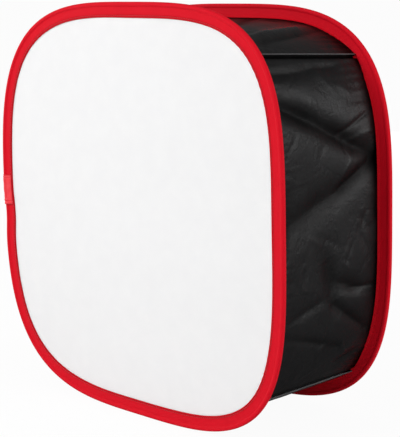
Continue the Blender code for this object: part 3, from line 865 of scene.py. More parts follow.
def nylon_finish(name, deep, pale, roughness):
    """Coated black nylon: a close plain weave under a thin coat, with handling creases in it. The
    value named fold paints shade into troughs and light onto ridges, and takes the troughs' gloss
    down. Below -0.8 it paints shadow: the cloth goes nearly black there through Metallic."""
    material, place, shader = start_finish(name, {"Specular IOR Level": 0.22})
    threads = weave(place, NYLON_THREAD, NYLON_THREAD)
    clouds = noise(place, 26.0, 4.0, 0.6)
    creases = (noise(place, 24.0, 4.0, 0.6) - 0.5).size().rise(0.0, 0.06)
    wear = noise(place, 140.0, 3.0, 0.6)
    fold = place.node("ShaderNodeAttribute", {"attribute_name": "fold"}, output="Fac")
    # Painted shade and light: the fold value darkens troughs and tucks and lightens ridges.
    tone = clouds * 0.4 + wear * 0.15 + threads * 0.1 + fold * 0.60 + 0.27
    connect(mix_colours(tone, deep, pale), shader, "Base Color")
    connect(clouds * 0.14 + wear * 0.10 - fold * 0.20 + roughness, shader, "Roughness")
    # Painted shadow: where the fold value falls below -0.8, Metallic shuts off the gloss.
    connect((-0.8 - fold).most(0.0).least(1.0) * 0.9, shader, "Metallic")
    fine = place.node("ShaderNodeBump", inputs={"Height": threads, "Distance": 0.000012})
    worn = {"Height": creases * 0.35 + wear * 0.25 + clouds, "Distance": 0.0003, "Normal": fine}
    connect(place.node("ShaderNodeBump", inputs=worn), shader, "Normal")
    return material


def silver_finish():
    """Silver-coated cloth: a metal film over a weave, broken by fine crinkles."""
    material, place, shader = start_finish("silver_cloth", {"Metallic": 0.75})
    threads = weave(place, NYLON_THREAD, NYLON_THREAD)
    crinkle = (noise(place, 34.0, 4.0, 0.6) - 0.5).size().rise(0.0, 0.10)
    clouds = noise(place, 60.0, 3.0)
    tone = crinkle * 0.30 + clouds * 0.5 + threads * 0.05
    connect(mix_colours(tone, SILVER_DEEP, SILVER_PALE), shader, "Base Color")
    connect(clouds * 0.2 + 0.32, shader, "Roughness")
    emboss(crinkle * 0.5 + clouds + threads * 0.02, 0.0008, shader)
    return material


black_nylon = nylon_finish("black_nylon", NYLON_DEEP, NYLON_PALE, 0.24)
cover_nylon = nylon_finish("cover_nylon", COVER_DEEP, COVER_PALE, 0.34)
silver_cloth = silver_finish()
for name, node, material, slot in (
    ("rear_cover", "rear_panel", cover_nylon, "black_nylon"),
    ("rear_cover_lining", "rear_lining", silver_cloth, "silver_cloth"),
):
    low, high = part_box(node)
    item = panel_sheet(name, material, high.y)
    area = sheet_area(item)
    thicken(item, high.y - low.y)
    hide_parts(node)
    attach(item, "rear_frame")

# Tape round the rear opening
# A soft black tape is folded over the cut edge of the opening and sewn through, like the edge
# tapes of the hoops but flat.
OPENING_STATIONS = 560
OPENING_STITCHES = 360
OPENING_SEAM = 0.0078
OPENING_STITCH = 0.0022
OPENING_GROOVE = 0.00018
OPENING_GROOVE_SPREAD = 0.0005
OPENING_ROUND = 0.0012
OPENING_WAVE = 0.00010
BLACK_DEEP = (0.008, 0.008, 0.0085, 1.0)
BLACK_PALE = (0.022, 0.022, 0.024, 1.0)


def opening_loop(stations):
    """Centres (x, z) and outward directions (x, z) round the opening's edge: four straight sides
    with quarter turns between them, begun at the lower end of the right side."""
    side_x, side_z = OPENING_HALF_WIDTH - OPENING_RADIUS, OPENING_HALF_HEIGHT - OPENING_RADIUS
    arc = OPENING_RADIUS * math.pi / 2
    per_metre = stations / (4 * (side_x + side_z) + 4 * arc)
    corners = np.array([(side_x, -side_z), (side_x, side_z), (-side_x, side_z), (-side_x, -side_z)])
    parts = []
    for k in range(4):
        start, end = corners[k], corners[(k + 1) % 4]
        straight = np.linspace(0.0, 1.0, max(2, round(math.dist(start, end) * per_metre)), endpoint=False)
        bend = np.linspace(0.0, 1.0, max(8, round(arc * per_metre)), endpoint=False)
        turn = math.pi / 2 * (k + np.concatenate([0 * straight, bend]))
        reach = np.concatenate([straight, 0 * bend + 1.0])[:, None]
        parts.append(np.column_stack([start + (end - start) * reach, np.cos(turn), np.sin(turn)]))
    return np.concatenate(parts).T


def make_opening_tape(material):
    """The folded tape: a flat U in section, round over the edge, with a sewn groove on each leg."""
    x, z, out_x, out_z = opening_loop(OPENING_STATIONS)
    grow = np.array([0.0, 0.12, 0.5, 1.2, 2.4, 4.0, 5.6, 6.6, 7.2, 7.8, 8.4, 9.2, 9.7, 10.0]) / 1000
    rim = rounded(grow, OPENING_TAPE_WIDTH - EDGE_ROUND, OPENING_TAPE_WIDTH)
    height = rear.slot * (1 - rim) + size_of("opening_binding").y / 2 * rim
    groove = OPENING_GROOVE * hump(grow - OPENING_SEAM, OPENING_GROOVE_SPREAD)
    height = height * rounded(-grow, -OPENING_ROUND, 0.0) - groove
    grow_line, depth_line = both_sides(grow, height)
    inner_grow = [OPENING_TAPE_WIDTH, TAPE_THICKNESS, TAPE_THICKNESS, OPENING_TAPE_WIDTH]
    section_grow = np.concatenate([grow_line, inner_grow]) + OPENING_RADIUS
    section_depth = np.concatenate([depth_line, rear.slot * np.array([-1, -1, 1, 1])])
    reach = section_grow + OPENING_WAVE * np.sin(np.arange(len(x)) * 0.31)[:, None]
    place_x = x[:, None] + out_x[:, None] * reach
    place_z = rear.middle + z[:, None] + out_z[:, None] * reach
    points = np.stack(np.broadcast_arrays(place_x, rear.plane + section_depth, place_z), axis=-1)
    along = distances(np.concatenate([points[:, 0], points[:1, 0]]))
    around = distances(np.stack([section_grow, section_depth], axis=-1))
    around = np.append(around, around[-1])
    skinned = skin(points, (True, True), None, along, around)
    return mesh_piece("opening_edge_tape", material, points, *skinned)


def woven_finish(name, rib, deep, pale, roughness):
    """Soft black tape or webbing: ribs across it, threads along it, and a little dust."""
    constants = {"Specular IOR Level": 0.25, "Sheen Weight": 0.15}
    material, place, shader = start_finish(name, constants)
    ribs = weave(place, rib, rib * 1.5)
    threads = noise(stretch(place, (40.0, 1400.0, 1.0)), 1.0, 3.0, 0.6)
    dust = noise(place, 90.0, 4.0, 0.7).rise(0.5, 0.85)
    connect(mix_colours(threads * 0.6 + ribs * 0.15 + dust * 0.4, deep, pale), shader, "Base Color")
    connect(roughness + threads * 0.12, shader, "Roughness")
    emboss(ribs + threads * 0.6, rib / 7, shader)
    return material


black_tape = woven_finish("black_tape", 0.0007, BLACK_DEEP, BLACK_PALE, 0.62)
black_thread = thread_finish("black_thread", (0.010, 0.010, 0.010, 1.0), (0.035, 0.035, 0.037, 1.0))
opening_tape = make_opening_tape(black_tape)
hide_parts("opening_binding")
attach(opening_tape, "rear_frame")
x, z, out_x, out_z = opening_loop(OPENING_STITCHES)
reach = OPENING_SEAM + OPENING_RADIUS
lift = size_of("opening_binding").y / 2 - OPENING_GROOVE
seam = x + out_x * reach, rear.middle + z + out_z * reach, -out_z, out_x, rear.plane, lift
sew_through("opening_edge_tape_stitches", *seam, black_thread, opening_tape, "black_tape", OPENING_STITCH)

# Walls
# Four panels of coated black nylon join the hoops. Each is sewn to its neighbours in the corners,
# where it rises to a ridge, and it hangs in folds between the pull of the corners and the tapes.
WALL_INSET = 0.0142
WALL_THICKNESS = 0.0004
WALL_GAP = 0.0001
RIDGE_HEIGHT = 0.0026
RIDGE_SPREAD = 0.020
GROOVE_DEPTH = 0.0034
GROOVE_PLACE = 0.0025
GROOVE_SPREAD = 0.0018
# Painted shade beside the side walls' seams and along the rear tape: the fold value is taken down there.
SEAM_SHADE_PLACE = 0.0030
SEAM_SHADE_SPREAD = 0.0036
SEAM_TUCK_SHADE = 2.0
TAPE_SHADE_SPREADS = {"right": 0.0065, "top": 0.0150, "left": 0.0065, "bottom": 0.0065}
TAPE_TUCK_SHADE = 1.7
TAPE_SHADE_WANDER = 0.35
SHADE_LOWEST = -3.0
FOLD_SHADE_LOWEST = -1.1
DRAW_IN = 0.0050
WALL_COLUMNS = 280
WALL_ROWS = 118
SEAM_SPLIT = 0.00015
SEAM_SPLIT_REACH = 0.002
SEAM_HOLD = 0.012
# How far each corner's seam is sewn beside its sleeve, round the box, as the photograph shows it.
FRONT_SHIFTS = (-0.0034, 0.0, 0.0, -0.0038)
REAR_SHIFTS = (-0.0037, 0.0, 0.0, -0.0045)

# Main folds of each wall: (along, back) at both ends, then height, half width and the share of the
# half width on the side of smaller along. Along runs round the box from the wall's middle, back
# from the front tape to the rear one, and a height below nought is a trough.
FOLDS = {
    "right": (
        ((0.139, 0.004), (0.139, 0.071), -0.0022, 0.0050, 1.0),
        ((0.141, 0.068), (0.140, 0.111), -0.0018, 0.0045, 1.0),
        ((0.116, 0.008), (0.096, 0.061), -0.0058, 0.0100, 0.9),
        ((0.100, 0.050), (0.055, 0.146), -0.0060, 0.0108, 0.9),
        ((0.055, 0.144), (0.027, 0.095), -0.0040, 0.0094, 0.6),
        ((0.032, 0.106), (0.002, 0.023), -0.0032, 0.0150, 0.8),
        ((0.038, 0.023), (-0.017, 0.026), -0.0022, 0.0100, 1.0),
        ((0.079, 0.095), (0.099, 0.142), -0.0012, 0.0026, 1.0),
        ((0.072, 0.109), (0.083, 0.148), 0.0008, 0.0036, 1.0),
        ((-0.035, 0.077), (-0.076, 0.091), -0.0036, 0.0100, 1.0),
        ((-0.058, 0.093), (-0.070, 0.127), -0.0032, 0.0075, 1.0),
        ((-0.068, 0.104), (-0.067, 0.144), -0.0010, 0.0026, 1.0),
        ((-0.077, 0.084), (-0.112, 0.139), -0.0034, 0.0062, 1.0),
        ((-0.086, 0.022), (-0.073, 0.075), -0.0016, 0.0058, 1.0),
        ((-0.100, 0.021), (-0.125, 0.109), -0.0022, 0.0054, 1.0),
        ((-0.141, 0.103), (-0.133, 0.131), -0.0018, 0.0034, 1.0),
        ((-0.118, 0.105), (-0.132, 0.113), 0.0012, 0.0030, 1.0),
    ),
    "top": (
        ((-0.150, 0.020), (-0.122, 0.135), -0.0026, 0.0050, 1.0),
        ((-0.146, 0.004), (-0.126, 0.064), 0.0014, 0.0028, 1.0),
        ((-0.132, 0.050), (-0.110, 0.134), 0.0026, 0.0078, 0.7),
        ((-0.140, 0.010), (-0.085, 0.046), 0.0016, 0.0110, 1.0),
        ((-0.108, 0.030), (-0.030, 0.132), -0.0032, 0.0100, 1.0),
        ((0.095, 0.134), (0.030, 0.040), -0.0032, 0.0110, 1.0),
        ((0.010, 0.020), (0.040, 0.120), 0.0020, 0.0090, 1.0),
    ),
    "left": (
        ((-0.112, 0.016), (-0.048, 0.132), -0.0030, 0.0110, 1.0),
        ((0.100, 0.132), (0.040, 0.030), -0.0026, 0.0110, 1.0),
        ((-0.020, 0.110), (0.030, 0.060), 0.0018, 0.0080, 1.0),
    ),
    "bottom": (
        ((0.108, 0.018), (0.030, 0.126), -0.0026, 0.0120, 1.0),
        ((-0.090, 0.130), (-0.035, 0.036), -0.0024, 0.0110, 1.0),
    ),
}
WALL_TURN = {"right": 0, "top": 1, "left": 2, "bottom": 3}
FOLD_FULL = 0.0040
FOLD_END_SHARE = 0.35
CREASE_COUNT = 90
CREASE_SEED = 11
GATHER_HEIGHT = 0.00036
GATHER_PITCH = 0.0065
GATHER_REACH = 0.060
GATHER_FALL = 0.92
GATHER_HOLD = 0.006
CORNER_SIGNS = ((1, 1), (-1, 1), (-1, -1), (1, -1))


def seam_shares(hoop):
    """The shares of the outline at its four corners, where x / half width equals z / half height."""
    wide, tall = hoop.x / hoop.x.max(), (hoop.z - hoop.middle) / hoop.middle
    shares = []
    for side_x, side_z in CORNER_SIGNS:
        near = (wide * side_x > 0) & (tall * side_z > 0)
        gap = np.where(near, np.abs(np.abs(wide) - np.abs(tall)), 9.0)
        shares.append(hoop.share[gap.argmin()])
    return shares


FRONT_CORNERS, REAR_CORNERS = seam_shares(front), seam_shares(rear)
FRONT_SEAMS = [corner + shift / front.length for corner, shift in zip(FRONT_CORNERS, FRONT_SHIFTS)]
REAR_SEAMS = [corner + shift / rear.length for corner, shift in zip(REAR_CORNERS, REAR_SHIFTS)]


def wall_span(corners, turn):
    """The shares of the outline between which a wall runs: from the corner before it to its own."""
    start, end = corners[turn - 1], corners[turn]
    return (start - 1.0 if start > end else start), end


def fold_field(along, back, start, end, height, width, lean):
    """How far a fold lifts the cloth: height · exp(-(distance / half width)^1.6) from its line,
    with its own half width on each side, fading out towards both of its ends."""
    start_x, start_y, end_x, end_y = *start, *end
    run_x, run_y = end_x - start_x, end_y - start_y
    length = math.hypot(run_x, run_y)
    part = ((along - start_x) * run_x + (back - start_y) * run_y) / length**2
    across = ((along - start_x) * run_y - (back - start_y) * run_x) / length
    past = np.maximum(np.abs(part - 0.5) - 0.5, 0.0) * length
    reach = np.where(across < 0, width * lean, width)
    fade = FOLD_END_SHARE + (1 - FOLD_END_SHARE) * np.sin(math.pi * np.clip(part, 0.0, 1.0)) ** 0.7
    distance = np.sqrt((across / reach) ** 2 + (past / width) ** 2)
    return height * fade * np.exp(-(distance**1.6))


def small_creases(along, back, half, depth, seed):
    """Handling creases: short soft ridges and troughs at chance places, most of them slanted."""
    chance = np.random.default_rng(seed)
    total = np.zeros_like(along)
    for _ in range(CREASE_COUNT):
        middle = np.array([chance.uniform(-half, half), chance.uniform(0.0, depth)])
        angle = chance.choice([0.6, -0.6, 1.2, -1.2]) + chance.normal(0.0, 0.3)
        length = chance.uniform(0.008, 0.038)
        width = chance.uniform(0.0016, 0.0050)
        height = chance.choice([-1.0, 1.0]) * chance.uniform(0.00012, 0.00050)
        reach = np.array([math.sin(angle), math.cos(angle)]) * length / 2
        total += fold_field(along, back, middle - reach, middle + reach, height, width, 1.0)
    return total


def wall_grid(side, inset, columns, rows, trim, fine):
    """Points of a wall between its corner seams and between the tapes, with their distances.

    Each point lies on the straight line between the hoops' outlines and moves out along the mean
    of their outward directions. It rises to the seams by RIDGE_HEIGHT · exp(-distance / spread),
    is drawn in by DRAW_IN · cos²(quarter turn · share) · 4 · back · (1 - back), and then takes its
    folds, its creases and the gathers along both tapes, which grow from each tape and fade by
    back · exp(-back). The fold value is the folds' height over FOLD_FULL, less a painted shade in
    the tucks beside the side walls' seams and under the rear tape; the nylon finish turns it into
    painted shade in troughs and painted light on ridges.
    """
    turn = WALL_TURN[side]
    even = np.linspace(-1.0, 1.0, columns)
    # The columns lie closer together near the seams.
    share = np.sign(even) * (1 - (1 - np.abs(even)) ** 1.25)
    share = np.clip(share, -1.0 + trim, 1.0 - trim)[None, :]
    back = np.linspace(0.0, 1.0, rows)[:, None]
    front_start, front_end = wall_span(FRONT_SEAMS, turn)
    rear_start, rear_end = wall_span(REAR_SEAMS, turn)
    front_share = front_start + (front_end - front_start) * (share + 1) / 2
    rear_share = rear_start + (rear_end - rear_start) * (share + 1) / 2
    near = np.array([*front.place(front_share, inset), *front.outward(front_share)])
    far = np.array([*rear.place(rear_share, inset), *rear.outward(rear_share)])
    x, z, out_x, out_z = near + (far - near) * back
    y = WALL_FRONT + WALL_GAP + (WALL_DEPTH - 2 * WALL_GAP) * back

    half = (front_end - front_start) * front.length / 2
    to_seam = (1 - np.abs(share)) * half
    run_x, run_z = math.cos(math.pi / 2 * (turn + 1)), math.sin(math.pi / 2 * (turn + 1))
    along = x * run_x + (z - front.middle) * run_z
    depth = (y - front.plane) + 0 * along
    slack = np.cos(math.pi / 2 * share) ** 2 * 4 * back * (1 - back)
    lift = RIDGE_HEIGHT * np.exp(-to_seam / RIDGE_SPREAD) - DRAW_IN * slack
    if side in ("right", "left"):
        lift = lift - GROOVE_DEPTH * hump(to_seam - GROOVE_PLACE, GROOVE_SPREAD)
    folds = np.zeros_like(along)
    for start, end, height, width, lean in FOLDS[side]:
        folds += fold_field(along, depth, start, end, height, width, lean)
    if fine:
        folds += small_creases(along, depth, half, WALL_DEPTH, CREASE_SEED + turn)
    lift = lift + folds * ramp(to_seam, 0.0, SEAM_HOLD) * np.clip(16 * back * (1 - back), 0.0, 1.0)
    wander = np.sin(along * 71) + 0.6 * np.sin(along * 173 + 1.0)
    near_corner = 1 - GATHER_FALL * ramp(to_seam, 0.0, GATHER_REACH)
    at_rear = (1 - back) * 32 * np.exp(-(1 - back) * 14) * near_corner
    at_front = back * 30 * np.exp(-back * 22)
    gathers = np.sin(math.tau * along / GATHER_PITCH + wander) * (at_rear + at_front)
    lift = lift + GATHER_HEIGHT * gathers * ramp(to_seam, 0.0, GATHER_HOLD)
    split = SEAM_SPLIT * np.sign(share) * (1 - ramp(to_seam, 0.0, SEAM_SPLIT_REACH))
    x, z = x + out_x * lift - run_x * split, z + out_z * lift - run_z * split
    points = np.stack(np.broadcast_arrays(x, y, z), axis=-1)

    # Painted shade: fold troughs darken and ridges lighten, and the seams' grooves and the rear tape's edge
    # darken further.
    seam_shade_mask = hump(to_seam - SEAM_SHADE_PLACE, SEAM_SHADE_SPREAD) * (side in ("right", "left"))
    tape_shade_spread = TAPE_SHADE_SPREADS[side] * (1.0 + TAPE_SHADE_WANDER * np.sin(wander))
    tape_shade_mask = hump((1 - back) * WALL_DEPTH, tape_shade_spread)
    shade = np.clip(folds / FOLD_FULL, FOLD_SHADE_LOWEST, 1.0) - SEAM_TUCK_SHADE * seam_shade_mask
    shade = np.maximum(shade - TAPE_TUCK_SHADE * tape_shade_mask, SHADE_LOWEST)
    return points, back[:, 0] * WALL_DEPTH, share[0] * half, shade


def hang_wall(side, name, node, material, slot, inset, columns, rows, trim=0.0, fine=True):
    """One wall or lining, held in the tapes, with its fold value and its thickness."""
    points, along, across, shade = wall_grid(side, inset, columns, rows, trim, fine)
    turn = math.pi / 2 * WALL_TURN[side]
    skinned = skin(points, (False, False), (math.cos(turn), 0.0, math.sin(turn)), along, across)
    item = mesh_piece(name, material, points, *skinned)
    # The fold value carries the wall's painted shade and light into the nylon finish.
    mark(item, "fold", shade)
    thicken(item, WALL_THICKNESS)
    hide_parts(node)
    width = distances(points[rows // 2])[-1]
    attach(item, "rear_frame")
    fold_up(item)


for side in WALL_TURN:
    name, node = f"{side}_wall_cloth", f"{side}_wall"
    hang_wall(side, name, node, black_nylon, "black_nylon", WALL_INSET, WALL_COLUMNS, WALL_ROWS)

# Wall linings
# Inside each wall lies a silver cloth that throws the light forwards. It is sewn in the same tapes
# and stops beside the corner sleeves.
LINING_GAP = 0.0009
LINING_COLUMNS = 150
LINING_ROWS = 62
LINING_TRIM = 0.055
for side in WALL_TURN:
    name, node = f"{side}_wall_lining", f"{side}_lining"
    size = WALL_INSET + LINING_GAP, LINING_COLUMNS, LINING_ROWS, LINING_TRIM
    hang_wall(side, name, node, silver_cloth, "silver_cloth", *size, fine=False)

# Corner sleeves
# Each corner seam encloses a flat nylon tunnel for its stay. Outside, the seam's turned allowance
# shows as a narrow rolled edge that leans over the side wall; its paler colour is a painted highlight.
LIP_WIDTH = 0.0011
LIP_HEIGHT = 0.0011
LIP_STEPS = 90
LIP_SIDES = 14
LIP_RISE = 0.00035
LIP_SET = 0.00045
LIP_WAVE = 0.00010
LIP_WAVE_TURN = 37.0
LIP_LEAN = 0.00012
SLEEVE_HALF_WIDTH = 0.0037
SLEEVE_HALF_THICKNESS = 0.0009
SLEEVE_RIPPLE = 0.00012
SLEEVE_RIPPLE_TURN = 90.0
SLEEVE_ROWS = 60
SLEEVE_SIDES = 24
# The rolled edge's colours are far paler than the walls': a painted highlight along each seam.
SEAM_HIGHLIGHT_DEEP = (0.050, 0.050, 0.053, 1.0)
SEAM_HIGHLIGHT_PALE = (0.150, 0.150, 0.158, 1.0)


def corner_line(index, rows, front_shares, rear_shares):
    """Points (x, z) along a corner, with its outward direction and the direction round the box."""
    back = np.linspace(0.0, 1.0, rows)[:, None]
    near = np.array(front.place(front_shares[index], WALL_INSET))
    far = np.array(rear.place(rear_shares[index], WALL_INSET))
    out_x, out_z = np.array(CORNER_SIGNS[index]) / math.sqrt(2)
    return near + (far - near) * back, np.array([out_x, out_z]), np.array([-out_z, out_x])


def corner_tube(name, material, line, out, round_box, rise, beside):
    """A tube along a corner, on a mesh of its own. Its section goes rise outwards and
    beside round the box at each point of the line."""
    place = line[:, None, :] + rise[..., None] * out + beside[..., None] * round_box
    y = np.linspace(WALL_FRONT, WALL_BACK, len(line))[:, None] + 0 * rise
    points = np.stack([place[..., 0], y, place[..., 1]], axis=-1)
    along = np.linspace(0.0, WALL_DEPTH, len(line))
    around = distances(np.concatenate([points[0], points[0, :1]]))
    item = closed_tube(name, material, points, along, around)
    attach(item, "rear_frame")
    fold_up(item)
    return item


def rolled_lip(index):
    """The rolled edge: an ellipse over the ridge, leaning to the side wall, with a slow wave in its
    height and in its lean."""
    line = corner_line(index, LIP_STEPS, FRONT_SEAMS, REAR_SEAMS)
    toward_side = -1.0 if index % 2 == 0 else 1.0
    turn = np.linspace(0.0, math.tau, LIP_SIDES, endpoint=False)
    wave = LIP_WAVE * np.sin(np.linspace(0.0, LIP_WAVE_TURN, LIP_STEPS) + index)[:, None]
    rise = RIDGE_HEIGHT + LIP_RISE + wave + LIP_HEIGHT / 2 * np.sin(turn)
    beside = toward_side * (LIP_SET + wave + LIP_WIDTH / 2 * np.cos(turn)) - LIP_LEAN * np.sin(turn)
    return *line, rise, beside


def sleeve_tunnel(index):
    """The flat tunnel round a stay: a rounded flat tube, |beside / half|^4 + |rise / half|^4 = 1."""
    low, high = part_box(f"{CORNERS[index]}_stay")
    line, out, round_box = corner_line(index, SLEEVE_ROWS, FRONT_CORNERS, REAR_CORNERS)
    sunk = (np.array([low.x + high.x, low.z + high.z]) / 2 - line.mean(axis=0)) @ out
    turn = np.linspace(0.0, math.tau, SLEEVE_SIDES, endpoint=False)
    flat = np.abs(np.cos(turn)) ** 0.5 * np.sign(np.cos(turn))
    tall = np.abs(np.sin(turn)) ** 0.5 * np.sign(np.sin(turn))
    wave = np.sin(np.linspace(0.0, SLEEVE_RIPPLE_TURN, SLEEVE_ROWS) + index)
    ripple = SLEEVE_RIPPLE * wave[:, None]
    rise = sunk + SLEEVE_HALF_THICKNESS * tall + ripple * (np.abs(flat) < 0.9)
    return line, out, round_box, rise, SLEEVE_HALF_WIDTH * flat + 0 * rise


# Painted highlight: the rolled seam edges take these paler colours.
seam_edging = woven_finish("seam_edging", 0.0006, SEAM_HIGHLIGHT_DEEP, SEAM_HIGHLIGHT_PALE, 0.34)
for index, corner in enumerate(CORNERS):
    sleeve = corner_tube(f"{corner}_corner_sleeve", black_nylon, *sleeve_tunnel(index))
    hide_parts(f"{corner}_sleeve")
    corner_tube(f"{corner}_corner_seam", seam_edging, *rolled_lip(index))

# Straps
# Two black webbing straps close behind the lamp. Each one's end is folded under itself and sewn to a
# patch on the left of the panel, with a box and a cross of stitches through all its layers.
WEBBING_RIB = 0.0014
WEBBING_EDGE = 0.0007
WEBBING_LIFT = 0.00008
STRAP_ROWS = 440
STRAP_COLUMNS = 22
FOLD_STEPS = 14
STRAP_CUT = 0.006
BOX_MARGIN = 0.0035
BOX_PITCH = 0.0027
BOX_STITCH = 0.0021
ROOT_OVERLAP = 0.0003
LEG_OVERLAP = 0.0010
LEG_GAP = 0.0001
PATCH_ROWS = 60
LEG_ROWS = 44
WEB_DEEP = (0.007, 0.007, 0.0075, 1.0)
WEB_PALE = (0.024, 0.024, 0.026, 1.0)


def ribbon(name, material, line, z_low, z_high, thickness, cut=0.0, lift=WEBBING_LIFT):
    """A strip along a line of (x, y) points, with round edges and ends cut across. Both faces carry
    ribs across it: lift · sin(2π · distance / pitch). The far end's corners can be cut off."""
    along = distances(line)
    run = np.gradient(line, along, axis=0)
    run = run / np.linalg.norm(run, axis=1)[:, None]
    bow = np.sin(math.pi * np.linspace(-0.5, 0.5, STRAP_COLUMNS))
    half = (z_high - z_low) / 2 - np.maximum(along - along[-1] + cut, 0.0)[:, None] * (cut > 0)
    rib = lift * np.sin(math.tau * along / WEBBING_RIB)[:, None]
    rise = (thickness / 2 - lift + rib) * rounded(half * np.abs(bow), half - WEBBING_EDGE, half)
    faces = []
    for side in (1, -1):
        x = line[:, :1] - run[:, 1:] * rise * side
        y = line[:, 1:] + run[:, :1] * rise * side
        z = (z_low + z_high) / 2 + half * bow
        faces.append(np.stack([x, y, z], axis=-1)[:, ::side])
    points = np.concatenate(faces, axis=1)
    around = distances(points[len(along) // 3])
    return closed_tube(name, material, points, along, np.append(around, around[-1]))


def level_line(x_start, x_end, y, rows):
    """A straight line of (x, y) points at one depth."""
    return np.stack([np.linspace(x_start, x_end, rows), np.full(rows, y)], axis=-1)


def stitch_lines(name, lines, lift, side, *thread):
    """Stitches on a face that looks along Y: one row for each line from (x, z) to (x, z) in turn."""
    places, runs = [], []
    for start, end in lines:
        start, end = np.array(start), np.array(end)
        size = np.linalg.norm(end - start)
        count = max(2, round(size / BOX_PITCH))
        spot = start + (end - start) * ((np.arange(count) + 0.5) / count)[:, None]
        places.append(np.stack([spot[:, 0], np.full(count, lift), spot[:, 1]], axis=-1))
        runs.append(np.tile([(end - start)[0] / size, 0.0, (end - start)[1] / size], (count, 1)))
    places, runs = np.concatenate(places), np.concatenate(runs)
    sew(name, places, runs, np.tile([0.0, side, 0.0], (len(places), 1)), *thread, BOX_STITCH)


def stitched_box(low, high, margin, crossed):
    """The four sides of a box between two (x, z) corners, drawn in by the margin, and its two
    diagonals where it is crossed."""
    (low_x, low_z), (high_x, high_z) = np.add(low, margin), np.subtract(high, margin)
    corners = [(low_x, low_z), (high_x, low_z), (high_x, high_z), (low_x, high_z)]
    sides = list(zip(corners, corners[1:] + corners[:1]))
    return sides + [(corners[0], corners[2]), (corners[1], corners[3])] * crossed


webbing = woven_finish("black_webbing", WEBBING_RIB, WEB_DEEP, WEB_PALE, 0.58)
straps = {}
for level in ("upper", "lower"):
    low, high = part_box(f"{level}_strap")
    thickness = high.y - low.y
    line = level_line(low.x, high.x, (low.y + high.y) / 2, STRAP_ROWS)
    strap = ribbon(f"{level}_web_strap", webbing, line, low.z, high.z, thickness, cut=STRAP_CUT)
    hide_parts(f"{level}_strap")
    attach(strap, f"{level}_flap")
    straps[level] = strap

    base_low, base_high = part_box(f"{level}_strap_anchor")
    base_line = level_line(base_low.x, base_high.x, base_low.y + thickness / 2, PATCH_ROWS)
    base = ribbon(f"{level}_strap_patch", webbing, base_line, base_low.z, base_high.z, thickness)
    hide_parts(f"{level}_strap_anchor")
    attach(base, "rear_frame")

    root = low.x - ROOT_OVERLAP
    sewn = base_low.x + (base_high.x - root)
    fold = (high.y - base_low.y - thickness) / 4
    middle = base_low.y + thickness + 2 * fold
    turn = np.linspace(math.pi / 2, 1.5 * math.pi, FOLD_STEPS)
    bend = np.stack([sewn + fold + fold * np.cos(turn), middle + fold * np.sin(turn)], axis=-1)
    upper_leg = level_line(root, sewn + fold, middle + fold, LEG_ROWS)[:-1]
    lower_leg = level_line(sewn + fold, root - LEG_OVERLAP, middle - fold, LEG_ROWS)[1:]
    line = np.concatenate([upper_leg, bend, lower_leg])
    name = f"{level}_strap_folded_end"
    folded = ribbon(name, webbing, line, base_low.z, base_high.z, 2 * fold - LEG_GAP)
    folded.parent = base
    box = stitched_box((sewn, base_low.z), (root, base_high.z), BOX_MARGIN, True)
    name, lift = f"{level}_strap_patch_stitches", base_high.y - STITCH_SINK
    stitch_lines(name, box, lift, 1.0, black_thread, base, "black_webbing")

# Hook and loop pads
# A pad of stiff nylon hooks is sewn under each strap's free end, and a pad of soft loops on the
# panel. Both are woven tapes, with their hooks and loops standing from them in rows.
PAD_BACKING = 0.0005
PAD_SEAM = 0.0014
PAD_ROWS = 60
PAD_RIB = 0.00003
PAD_SINK = 0.00004
HOOKS_ACROSS = 21
LOOPS_ACROSS = 29
LOOP_RADIUS = 0.00010
LOOP_HALF_WIDTH = 0.0004
LOOP_HEIGHT = 0.00055
HOOK_RADIUS = 0.00009
HOOK_STEM = 0.00038
HOOK_REACH = 0.00017
HOOK_RISE = 0.00020
THREAD_STRAY = 0.00012
THREAD_TURN = 0.6
THREAD_SEED = 31
PILE_DEEP = (0.006, 0.006, 0.0065, 1.0)
PILE_PALE = (0.030, 0.030, 0.032, 1.0)
HOOK_DEEP = (0.004, 0.004, 0.0045, 1.0)
HOOK_PALE = (0.014, 0.014, 0.015, 1.0)


def standing_threads(name, low, high, base, side, count, shape, radius, chance, *thread):
    """Rows of bent threads that stand from a pad's face along Y. Each follows the shape's points
    (out, up) in its own direction, as a four-sided tube with shut ends."""
    steps = np.linspace(0.0, 1.0, count)
    x, z = np.meshgrid(low.x + (high.x - low.x) * steps, low.z + (high.z - low.z) * steps, indexing="ij")
    x, z = x.ravel(), z.ravel()
    x, z = x + chance.normal(0.0, THREAD_STRAY, x.shape), z + chance.normal(0.0, THREAD_STRAY, z.shape)
    heading = chance.uniform(-THREAD_TURN, THREAD_TURN, x.shape) + math.pi * (np.arange(len(x)) % 2)
    ahead = np.stack([np.cos(heading), 0 * heading, np.sin(heading)], axis=-1)[:, None, None, :]
    up = np.array([0.0, side, 0.0])
    run = np.gradient(shape, axis=0)
    run = run / np.linalg.norm(run, axis=1)[:, None]
    turn = np.arange(4) * math.tau / 4 + math.tau / 8
    out = shape[:, :1] - run[:, 1:] * radius * np.cos(turn)
    rise = shape[:, 1:] + run[:, :1] * radius * np.cos(turn)
    across = radius * np.sin(turn) + 0 * out
    roots = np.stack([x, np.full_like(x, base), z], axis=-1)[:, None, None, :]
    points = roots + ahead * out[..., None] + up * rise[..., None]
    tubes(name, points + np.cross(ahead, up) * across[..., None], *thread)


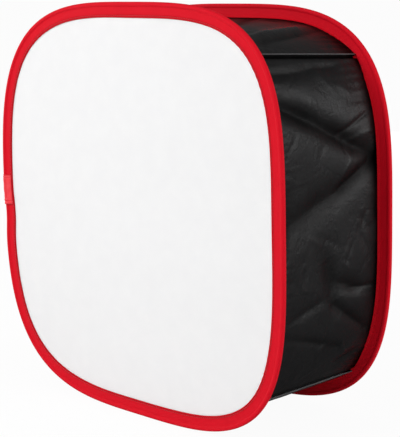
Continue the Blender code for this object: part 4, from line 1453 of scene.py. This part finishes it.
bow = np.linspace(0.0, math.pi, 7)
loop_shape = np.stack([-LOOP_HALF_WIDTH * np.cos(bow), LOOP_HEIGHT * np.sin(bow)], axis=-1)
curl = np.linspace(0.0, 1.15 * math.pi, 5)
hook_curl = np.stack([HOOK_REACH * (1 - np.cos(curl)), HOOK_STEM + HOOK_RISE * np.sin(curl)], axis=-1)
hook_shape = np.concatenate([[[0.0, 0.0]], hook_curl])
loop_pile = woven_finish("loop_pile", 0.0008, PILE_DEEP, PILE_PALE, 0.80)
hook_nylon = woven_finish("hook_tape", 0.0010, HOOK_DEEP, HOOK_PALE, 0.40)
for seed, level in enumerate(("upper", "lower")):
    for kind, side, count, shape, radius, finish, slot in (
        ("loop", 1.0, LOOPS_ACROSS, loop_shape, LOOP_RADIUS, loop_pile, "loop_pile"),
        ("hook", -1.0, HOOKS_ACROSS, hook_shape, HOOK_RADIUS, hook_nylon, "hook_tape"),
    ):
        low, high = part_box(f"{level}_{kind}_pad")
        back_face = low.y if side > 0 else high.y
        line = level_line(low.x, high.x, back_face + side * PAD_BACKING / 2, PAD_ROWS)
        name = f"{level}_{kind}_pad"
        pad = ribbon(f"{name}_tape", finish, line, low.z, high.z, PAD_BACKING, lift=PAD_RIB)
        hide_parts(name)
        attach(pad, "rear_frame" if kind == "loop" else f"{level}_flap")
        margin = Vector((2 * PAD_SEAM, 0.0, 2 * PAD_SEAM))
        face = back_face + side * (PAD_BACKING - PAD_SINK)
        threads = side, count, shape, radius, np.random.default_rng(THREAD_SEED + seed)
        standing_threads(f"{name}_threads", low + margin, high - margin, face, *threads, finish, pad, slot)
        edge = stitched_box((low.x, low.z), (high.x, high.z), PAD_SEAM, False)
        stitch_lines(f"{name}_stitches", edge, face, side, black_thread, pad, slot)
    # The hook pad's seam goes through the strap and shows on its outer face as well.
    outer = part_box(f"{level}_strap")[1].y - STITCH_SINK
    sewn_on = black_thread, straps[level], "black_webbing"
    stitch_lines(f"{level}_strap_pad_stitches", edge, outer, 1.0, *sewn_on)
